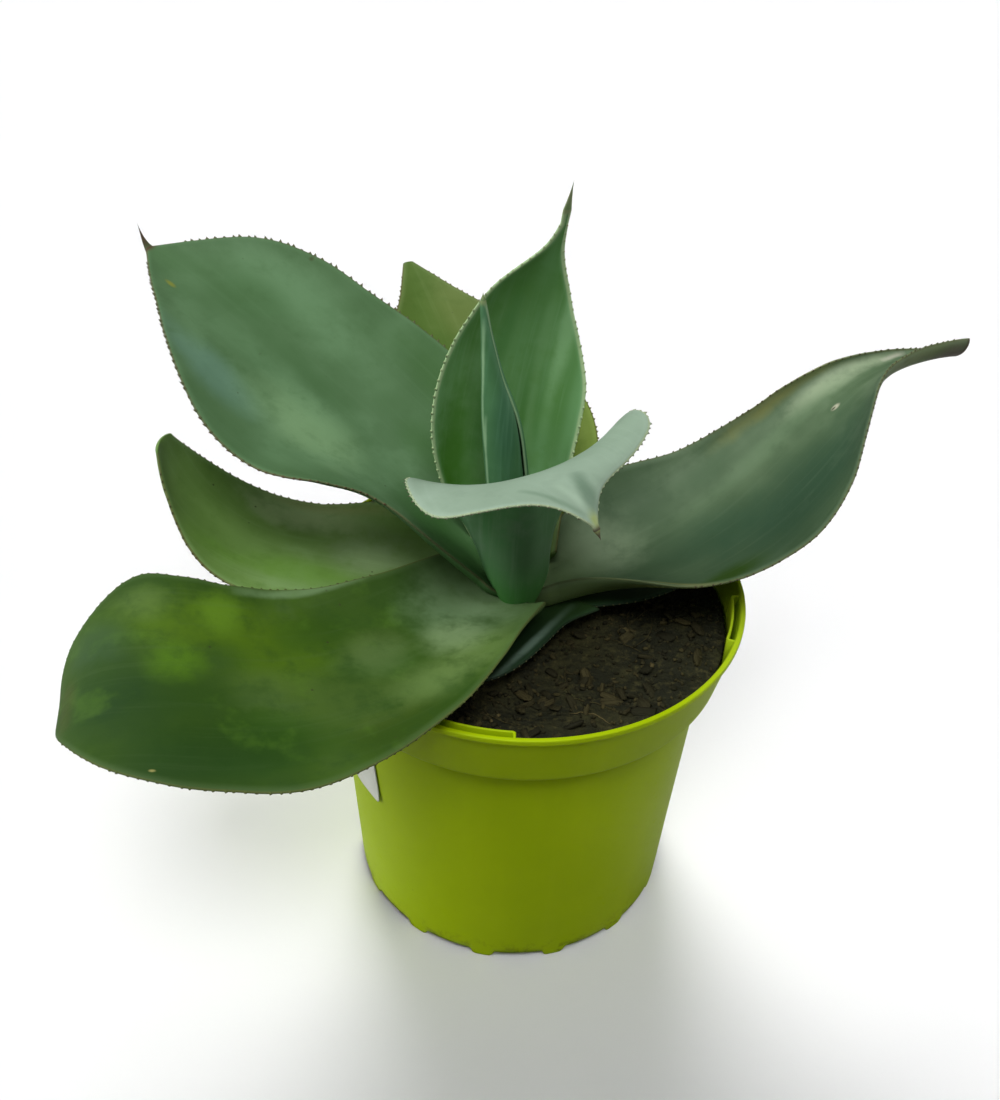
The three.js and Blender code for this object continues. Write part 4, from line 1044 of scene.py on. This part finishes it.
def pot_pockets(props):
    """The thin U-shaped pockets inside the collar: a rounded bar section carried along a path that leaves the
    wall, runs round the pot at a constant radius and returns to the wall. The ends lie in the middle of the
    wall, whose radius grows with the height."""
    count, first, half_turn, rows = 4, 260.5, 9.5, 47
    inner, low, high, step_out, thick = 66.0, 105.5, props.height / MM - 0.35, 2.5, 0.4
    wall_growth = 0.222
    share = np.concatenate([[1, 0.5, 0.12], np.zeros(rows - 6), [0.12, 0.5, 1]])
    turn = np.linspace(-half_turn, half_turn, rows - 4)
    angle = np.radians(np.concatenate([[-half_turn] * 2, turn, [half_turn] * 2]))
    radius = inner + share * step_out
    path = np.stack([radius * np.cos(angle), radius * np.sin(angle)], -1)
    along = unit(np.gradient(path, axis=0))
    aside = np.stack([along[:, 1], -along[:, 0]], -1)
    section = np.array([[-thick, low], [thick, low], [thick, high - 0.3], [0.7 * thick, high - 0.08],
                        [0, high], [-0.7 * thick, high - 0.08], [-thick, high - 0.3]])
    mid_wall = (props.collar_radius - 0.5 * props.wall) / MM
    wall = mid_wall + (section[:, 1] - props.collar_foot / MM) * wall_growth
    out = share[:, None] * (wall[None] - inner - step_out)
    outward = np.stack([np.cos(angle), np.sin(angle)], -1)
    flat = path[:, None] + aside[:, None] * section[None, :, :1] + outward[:, None] * out[..., None]
    z = np.broadcast_to(section[None, :, 1], flat.shape[:2])
    columns = len(section)
    ends = np.stack([np.arange(columns), (rows - 1) * columns + np.arange(columns)[::-1]])
    faces = [grid_faces(rows, columns, closed=True)[:, ::-1], ends[:, ::-1]]
    middles = math.radians(first) + around(count)
    bars = [np.stack([*turned(flat[..., 0], flat[..., 1], middle), z], -1) for middle in middles]
    return [(bar.reshape(-1, 3), faces, {}) for bar in bars]


def cut_drains(piece):
    """Cuts the drain holes through the pot's floor with one joined set of upright round cutters."""
    count, radius, ring, sides, low, high = 7, 4.0, 36.0, 32, -2.0, 8.0
    angle, centre = around(sides), around(count)[:, None]
    x = ring * np.cos(centre) + radius * np.cos(angle)
    y = ring * np.sin(centre) + radius * np.sin(angle)
    points = np.stack([np.stack([x, y, np.full_like(x, z)], -1) for z in (low, high)], 1)
    start = np.arange(count)[:, None] * 2 * sides
    walls = (start[..., None] + grid_faces(2, sides, closed=True)[:, ::-1]).reshape(-1, 4)
    caps = np.concatenate([start + np.arange(sides)[::-1], start + sides + np.arange(sides)])
    cutter = add_piece("drain_cutter", points, [walls, caps])
    cut = piece.modifiers.new("drains", "BOOLEAN")
    cut.operation = "DIFFERENCE"
    cut.solver = "EXACT"
    cut.object = cutter
    bpy.context.view_layer.update()
    mesh = bpy.data.meshes.new_from_object(piece.evaluated_get(bpy.context.evaluated_depsgraph_get()))
    piece.modifiers.clear()
    old = piece.data
    piece.data = mesh
    bpy.data.meshes.remove(old)
    bpy.data.objects.remove(cutter)


class AGAVE_OT_pot(bpy.types.Operator):
    """Builds the nursery pot with its lip, collar, pockets, feet and drain holes"""

    bl_idname = "agave.pot"
    bl_label = "Pot"

    def execute(self, context):
        props = context.scene.agave_pot
        points, faces = pot_shell(props)
        shell = add_piece("pot_shell", points, faces, replaces="pot")
        cut_drains(shell)
        points, faces, _ = join(pot_pockets(props))
        pockets = add_piece("pot_pockets", points, faces)
        finish = plastic_finish("lime_plastic", tuple(props.colour))
        for piece in (shell, pockets):
            piece.data.materials.clear()
            piece.data.materials.append(finish)
        return {"FINISHED"}


def soil_height(props, x, y):
    """Height of the soil's top: level in the middle and banked up toward the wall, with layered noise for
    lumps and finer noise for grit. Both settle toward the stem."""
    lump_cell, grit_cell = 9, 0.9
    radius = np.hypot(x, y)
    bank = smoothstep(35, 62, radius)
    level = props.level / MM * (1 - bank) + props.edge_level / MM * bank
    lumps = layered_noise(x / lump_cell + 31, y / lump_cell + 17, SEED + 11)
    grit = lattice_noise(x / grit_cell, y / grit_cell, SEED + 12)
    return level + props.relief / MM * (0.75 * lumps + 0.3 * grit) * smoothstep(5, 12, radius)


def soil_bed(props):
    """The soil as one closed body, (ring, spoke): its lumpy top by the formula of soil_height, then straight
    down inside the wall and flat across the pot's floor."""
    rings, spokes, base = 104, 330, 4.7
    edge = props.radius / MM
    radius = np.linspace(0, edge, rings + 1)[1:, None]
    angle = around(spokes)
    x, y = radius * np.cos(angle), radius * np.sin(angle)
    top = np.stack([x, y, soil_height(props, x, y)], -1)
    # Radius and height down the inside of the collar, its step, the wall and the floor
    side = np.array([[edge - 0.3, 106.0], [63.5, 99.4], [58.4, 97.6], [52.7, base + 2.6], [50.1, base],
                     [25, base]])
    lower = polar(side[:, :1], angle, np.repeat(side[:, 1:], spokes, 1))
    crest = soil_height(props, np.zeros(1), np.zeros(1))[0]
    points = np.concatenate([top.reshape(-1, 3), lower.reshape(-1, 3), [[0, 0, crest], [0, 0, base]]])
    rows = rings + len(side)
    middle = rows * spokes
    ring = np.arange(spokes)
    crown = fan(ring, middle)[:, ::-1]
    under = fan((rows - 1) * spokes + ring, middle + 1)
    return points, [grid_faces(rows, spokes, closed=True), crown, under]


def block_template():
    """The 26 surface points of a 3 x 3 x 3 block pulled toward a ball, and its 24 faces."""
    line = np.array([-1.0, 0, 1])
    cube = np.stack(np.meshgrid(line, line, line, indexing="ij"), -1).reshape(-1, 3)
    index = np.arange(27).reshape(3, 3, 3)
    sides = [index[0], index[-1].T, index[:, 0].T, index[:, -1], index[:, :, 0], index[:, :, -1].T]
    quads = np.concatenate([np.stack([s[:-1, :-1], s[:-1, 1:], s[1:, 1:], s[1:, :-1]], -1).reshape(-1, 4)
                            for s in sides])
    used = np.delete(np.arange(27), index[1, 1, 1])
    order = np.zeros(27, int)
    order[used] = np.arange(26)
    pull = np.maximum(np.linalg.norm(cube, axis=1, keepdims=True), 1) ** 0.55
    return (cube / pull)[used], order[quads]


def scatter(props, rng, count, sizes, reach, sink):
    """Chips on the soil: each is the block stretched to a size between the two sizes, roughened, tilted and
    turned, and set on the soil's surface between the stem and the reach, with a share of it sunk. The
    attributes are its tone and, for the grain, its own points moved by a random step."""
    block, quads = block_template()
    corners = len(block)
    rough, stem_room, grain_spread = 0.22, 12, 50
    size = rng.uniform(*np.array(sizes), (count, 3)) * 0.5
    local = block[None] * size[:, None]
    local = local * (1 + rng.uniform(-rough, rough, (count, corners, 1)))
    turn = rng.uniform(0, 2 * math.pi, (count, 1))
    tilt, swing = rng.normal(0, 0.35, (count, 1)), rng.normal(0, 0.3, (count, 1))
    x, y, z = local[..., 0], local[..., 1], local[..., 2]
    x, z = turned(x, z, tilt)
    y, z = turned(y, z, swing)
    x, y = turned(x, y, turn)
    radius = np.sqrt(rng.uniform(stem_room ** 2, reach ** 2, count))
    angle = rng.uniform(0, 2 * math.pi, count)
    cx, cy = radius * np.cos(angle), radius * np.sin(angle)
    cz = soil_height(props, cx, cy) + size[:, 2] * (1 - sink)
    points = np.stack([x + cx[:, None], y + cy[:, None], z + cz[:, None]], -1)
    tone = np.repeat(rng.uniform(0, 1, count) ** 1.5, corners)
    faces = (np.arange(count)[:, None, None] * corners + quads[None]).reshape(-1, 4)
    grain = local + rng.uniform(0, grain_spread, (count, 1, 3))
    return points.reshape(-1, 3), [faces], dict(tone=tone, grain=grain.reshape(-1, 3))


def soil_fibres(props, rng, count):
    """Loose fibres on the soil: thin six-sided rods along gently bent paths that follow the soil's height."""
    steps, sides, thickness, above = 14, 6, 0.16, 0.35
    s = np.linspace(-0.5, 0.5, steps)
    length, turn = rng.uniform(7, 19, (count, 1)), rng.uniform(0, 2 * math.pi, (count, 1))
    bow = rng.uniform(-0.35, 0.35, (count, 1))
    radius = np.sqrt(rng.uniform(14 ** 2, 55 ** 2, (count, 1)))
    angle = rng.uniform(0, 2 * math.pi, (count, 1))
    along, aside = turned(s * length, bow * length * (s ** 2 - 0.08) * 2, turn)
    x, y = radius * np.cos(angle) + along, radius * np.sin(angle) + aside
    path = np.stack([x, y, soil_height(props, x, y) + above], -1)
    run = unit(np.gradient(path, axis=1))
    side = unit(np.cross(run, np.array([0, 0, 1.0])))
    over = np.cross(side, run)
    circle = around(sides)[:, None]
    thin = (thickness * (1 - (2 * s) ** 4 * 0.8))[None, :, None, None]
    rods = path[:, :, None] + thin * (side[:, :, None] * np.cos(circle) + over[:, :, None] * np.sin(circle))
    start = np.arange(count)[:, None, None] * steps * sides
    walls = (start + grid_faces(steps, sides, closed=True)[None]).reshape(-1, 4)
    ring = np.arange(sides)
    ends = np.concatenate([start[:, 0] + ring, start[:, 0] + (steps - 1) * sides + ring[::-1]])
    tone = np.repeat(rng.uniform(0.5, 1, count), steps * sides)
    return rods.reshape(-1, 3), [walls, ends], dict(tone=tone, grain=rods.reshape(-1, 3))


class AGAVE_OT_soil(bpy.types.Operator):
    """Builds the soil and the bark chips, crumbs and fibres on it"""

    bl_idname = "agave.soil"
    bl_label = "Soil"

    def execute(self, context):
        props = context.scene.agave_soil
        rng = np.random.default_rng(SEED)
        points, faces = soil_bed(props)
        bed = add_piece("soil_bed", points, faces, replaces="soil")
        bed.data.materials.append(soil_finish("potting_soil"))
        chip_sizes, crumb_sizes = ((2.2, 1.2, 0.6), (8.0, 3.6, 1.7)), ((0.6, 0.5, 0.4), (2.2, 1.6, 1.2))
        loose = [
            scatter(props, rng, props.chips, chip_sizes, reach=60, sink=0.35),
            scatter(props, rng, props.crumbs, crumb_sizes, reach=63.5, sink=0.3),
            soil_fibres(props, rng, props.fibres),
        ]
        points, faces, attributes = join(loose)
        bark = add_piece("bark_chips", points, faces, attributes)
        bark.data.materials.append(bark_finish("bark"))
        return {"FINISHED"}


def stem_post():
    """The stem turned about the upright axis, (height, around): the radius of its box, narrowed toward the
    root, closed over the top by the root of 1 - u^2, and ringed by a faint sine of the height."""
    rows, columns, root_height, crown_height = 60, 72, 14, 13
    low, high = STEM_LOW.z / MM, STEM_HIGH.z / MM
    z = np.linspace(low, high, rows)
    crown = np.clip((z - (high - crown_height)) / (crown_height + 0.2), 0, 1)
    root = 0.6 + 0.4 * smoothstep(low, low + root_height, z)
    scars = 0.98 * (1 + 0.02 * np.sin(z * 2.4))
    radius = 0.5 * (STEM_HIGH.x - STEM_LOW.x) / MM * np.sqrt(1 - crown ** 2) * root * scars
    points = polar(radius[:, None], around(columns), np.repeat(z[:, None], columns, 1))
    ends = np.stack([np.arange(columns)[::-1], (rows - 1) * columns + np.arange(columns)])
    return points, [grid_faces(rows, columns, closed=True)[:, ::-1], ends]


class AGAVE_OT_stem(bpy.types.Operator):
    """Builds the short stem that the leaves grow from"""

    bl_idname = "agave.stem"
    bl_label = "Stem"

    def execute(self, context):
        points, faces = stem_post()
        stem = add_piece("stem_heart", points, faces, replaces="stem")
        stem.data.materials.append(stem_finish("stem_flesh"))
        return {"FINISHED"}


def label_sheet(props, pot):
    """The label as two grids of points, (up, across), joined by a rim. A rectangle is rounded at the corners,
    leaned by the slant and rolled onto the wall: the angle is the distance across over the wall's radius,
    which grows evenly with the height. One lower corner is lifted by a smooth step of each direction."""
    columns, rows, corner, lift = 41, 51, 1.6, 0.5
    half_wide, half_high, bottom = 0.5 * props.width / MM, 0.5 * props.height / MM, props.bottom / MM
    x = np.repeat(half_wide * np.linspace(-1, 1, columns)[None], rows, 0)
    z = np.repeat(half_high * np.linspace(-1, 1, rows)[:, None], columns, 1)
    over_x = np.maximum(np.abs(x) - (half_wide - corner), 0)
    over_z = np.maximum(np.abs(z) - (half_high - corner), 0)
    fit = np.where((over_x > 0) & (over_z > 0),
                   np.maximum(over_x, over_z) / np.maximum(np.hypot(over_x, over_z), 1e-9), 1)
    x = np.sign(x) * (np.minimum(np.abs(x), half_wide - corner) + over_x * fit)
    z = np.sign(z) * (np.minimum(np.abs(z), half_high - corner) + over_z * fit)
    x, z = turned(x, z, -props.slant)
    z = z + bottom + half_high
    share = z / WALL_TOP
    wall = pot.foot_radius / MM * (1 - share) + pot.wall_radius / MM * share
    angle = props.azimuth + x / wall
    lifted = lift * smoothstep(6, 15, x) * smoothstep(bottom + 9, bottom, z)
    sheets = [polar(wall + lifted + gap, angle, z).reshape(-1, 3) for gap in (0.27, 0.55)]
    size = rows * columns
    index = np.arange(size).reshape(rows, columns)
    border = np.concatenate([index[0, :-1], index[:-1, -1], index[-1, :0:-1], index[:0:-1, 0]])
    onward = np.roll(border, -1)
    rim = np.stack([border, onward, onward + size, border + size], -1)
    back, front = grid_faces(rows, columns), grid_faces(rows, columns, start=size)[:, ::-1]
    return np.concatenate(sheets), [back, front, rim]


class AGAVE_OT_label(bpy.types.Operator):
    """Builds the small blank label on the pot's wall"""

    bl_idname = "agave.label"
    bl_label = "Label"

    def execute(self, context):
        points, faces = label_sheet(context.scene.agave_label, context.scene.agave_pot)
        label = add_piece("label_sheet", points, faces, replaces="label")
        label.data.materials.append(paper_finish("label_paper"))
        return {"FINISHED"}


def picture_camera():
    """The camera of the picture: it stands on a tilted arm from the pot's axis, aims a little above the pot's
    middle by its pitch and yaw, and is rolled about its own line of sight."""
    rad = math.radians
    arm = Vector((0, -math.cos(rad(VIEW["elevation"])), math.sin(rad(VIEW["elevation"]))))
    place = Vector((0, 0, VIEW["target_height"])) + arm * VIEW["distance"]
    tilt, yaw, roll = rad(VIEW["elevation"] + VIEW["pitch"]), rad(VIEW["yaw"]), rad(VIEW["roll"])
    forward = Vector((math.sin(yaw) * math.cos(tilt), math.cos(yaw) * math.cos(tilt), -math.sin(tilt)))
    right = Vector((math.cos(yaw), -math.sin(yaw), 0))
    up = right.cross(forward)
    across = right * math.cos(roll) + up * math.sin(roll)
    upward = up * math.cos(roll) - right * math.sin(roll)
    data = bpy.data.cameras.new("picture_camera")
    data.sensor_width = 36
    data.lens = VIEW["focal_pixels"] / VIEW["frame_height"] * data.sensor_width
    data.clip_start = 0.01
    camera = bpy.data.objects.new("picture_camera", data)
    bpy.context.scene.collection.objects.link(camera)
    turn = Matrix((across, upward, -forward)).transposed().to_4x4()
    camera.matrix_world = Matrix.Translation(place * MM) @ turn
    bpy.context.scene.camera = camera


def add_sun(name, source, power, angle, colour, receivers=None):
    """A broad distant light from the direction of source, as wide as angle in degrees, on everything or on
    the receivers alone."""
    data = bpy.data.lights.new(name, "SUN")
    data.energy = power
    data.angle = math.radians(angle)
    data.color = colour
    lamp = bpy.data.objects.new(name, data)
    bpy.context.scene.collection.objects.link(lamp)
    lamp.location = source
    lamp.rotation_euler = Vector(source).to_track_quat("Z", "Y").to_euler()
    if receivers:
        lamp.light_linking.receiver_collection = receivers


# The suns: name, direction toward it, width in degrees, colour, and what it falls on
SUNS = (
    ("top", (0.05, -0.5, 1), 24, (1, 1, 1), "everything"),
    ("plant", (-0.4, -0.12, 1), 60, (1, 1, 0.98), "plant"),
    ("back", (-0.2, 1, 0.84), 31, (1, 1, 1), "floor"),
    ("key", (-1, -0.05, 0.4), 40, (1, 1, 0.98), "plant"),
    ("fill", (1, 0, 0.3), 45, (1, 0.94, 0.9), "plant"),
)


def floor_disc(props):
    """The floor just under the pot, (ring, around): the radius grows with the square of the ring's number."""
    rows, columns, height = 40, 96, -0.05
    radius = props.floor_radius / MM * np.linspace(0.02, 1, rows)[:, None] ** 2
    points = polar(radius, around(columns), np.full((rows, columns), height))
    return points, [grid_faces(rows, columns, closed=True), np.arange(columns)[None]]


def white_surroundings(strength):
    """A white world that lights the scene with the given strength and shows a little over full white."""
    shown = 1.05
    world = bpy.data.worlds.new("white_surroundings")
    world.use_nodes = True
    world.node_tree.nodes.clear()
    shade = Shade(world.node_tree)
    seen = shade.node("LightPath", output="Is Camera Ray")
    values = {"Color": (1, 1, 1, 1), "Strength": strength + (shown - strength) * seen}
    shade.node("OutputWorld", values={"Surface": shade.node("Background", values=values)})
    bpy.context.scene.world = world


class AGAVE_OT_stage(bpy.types.Operator):
    """Sets up the floor, the soft lights, the bright surroundings and the camera"""

    bl_idname = "agave.stage"
    bl_label = "Stage"

    def execute(self, context):
        props = context.scene.agave_stage
        picture_camera()
        points, faces = floor_disc(props)
        floor = add_piece("floor", points, faces)
        floor.data.materials.append(floor_finish("studio_floor", tuple(props.floor_colour), props.bounce))
        on_floor, off_floor = (bpy.data.collections.new(name) for name in ("lit_floor", "lit_plant"))
        on_floor.objects.link(floor)
        off_floor.objects.link(floor)
        off_floor.collection_objects[0].light_linking.link_state = "EXCLUDE"
        receivers = {"everything": None, "floor": on_floor, "plant": off_floor}
        for name, source, angle, colour, lit in SUNS:
            add_sun(name, source, getattr(props, name), angle, colour, receivers[lit])
        white_surroundings(props.sky)
        context.scene.view_settings.view_transform = "Standard"
        return {"FINISHED"}


OPERATORS = (AGAVE_OT_stage, AGAVE_OT_pot, AGAVE_OT_soil, AGAVE_OT_stem, AGAVE_OT_leaves, AGAVE_OT_label)


class AGAVE_PT_panel(bpy.types.Panel):
    """Lists the steps that build the potted agave, with their sizes and colours"""

    bl_idname = "AGAVE_PT_panel"
    bl_label = "Potted Agave"
    bl_space_type = "VIEW_3D"
    bl_region_type = "UI"
    bl_category = "Agave"

    def draw(self, context):
        for operator in OPERATORS:
            self.layout.operator(operator.bl_idname)
        for group in GROUPS:
            box = self.layout.box()
            for field in group.__annotations__:
                box.prop(getattr(context.scene, scene_key(group)), field)


def register():
    for cls in (*GROUPS, *OPERATORS, AGAVE_PT_panel):
        bpy.utils.register_class(cls)
    for group in GROUPS:
        setattr(bpy.types.Scene, scene_key(group), PointerProperty(type=group))


def unregister():
    for group in GROUPS:
        delattr(bpy.types.Scene, scene_key(group))
    for cls in reversed((*GROUPS, *OPERATORS, AGAVE_PT_panel)):
        bpy.utils.unregister_class(cls)


def main():
    register()
    bpy.ops.agave.stage()
    bpy.ops.agave.pot()
    bpy.ops.agave.soil()
    bpy.ops.agave.stem()
    bpy.ops.agave.leaves()
    bpy.ops.agave.label()


if __name__ == "__main__":
    main()
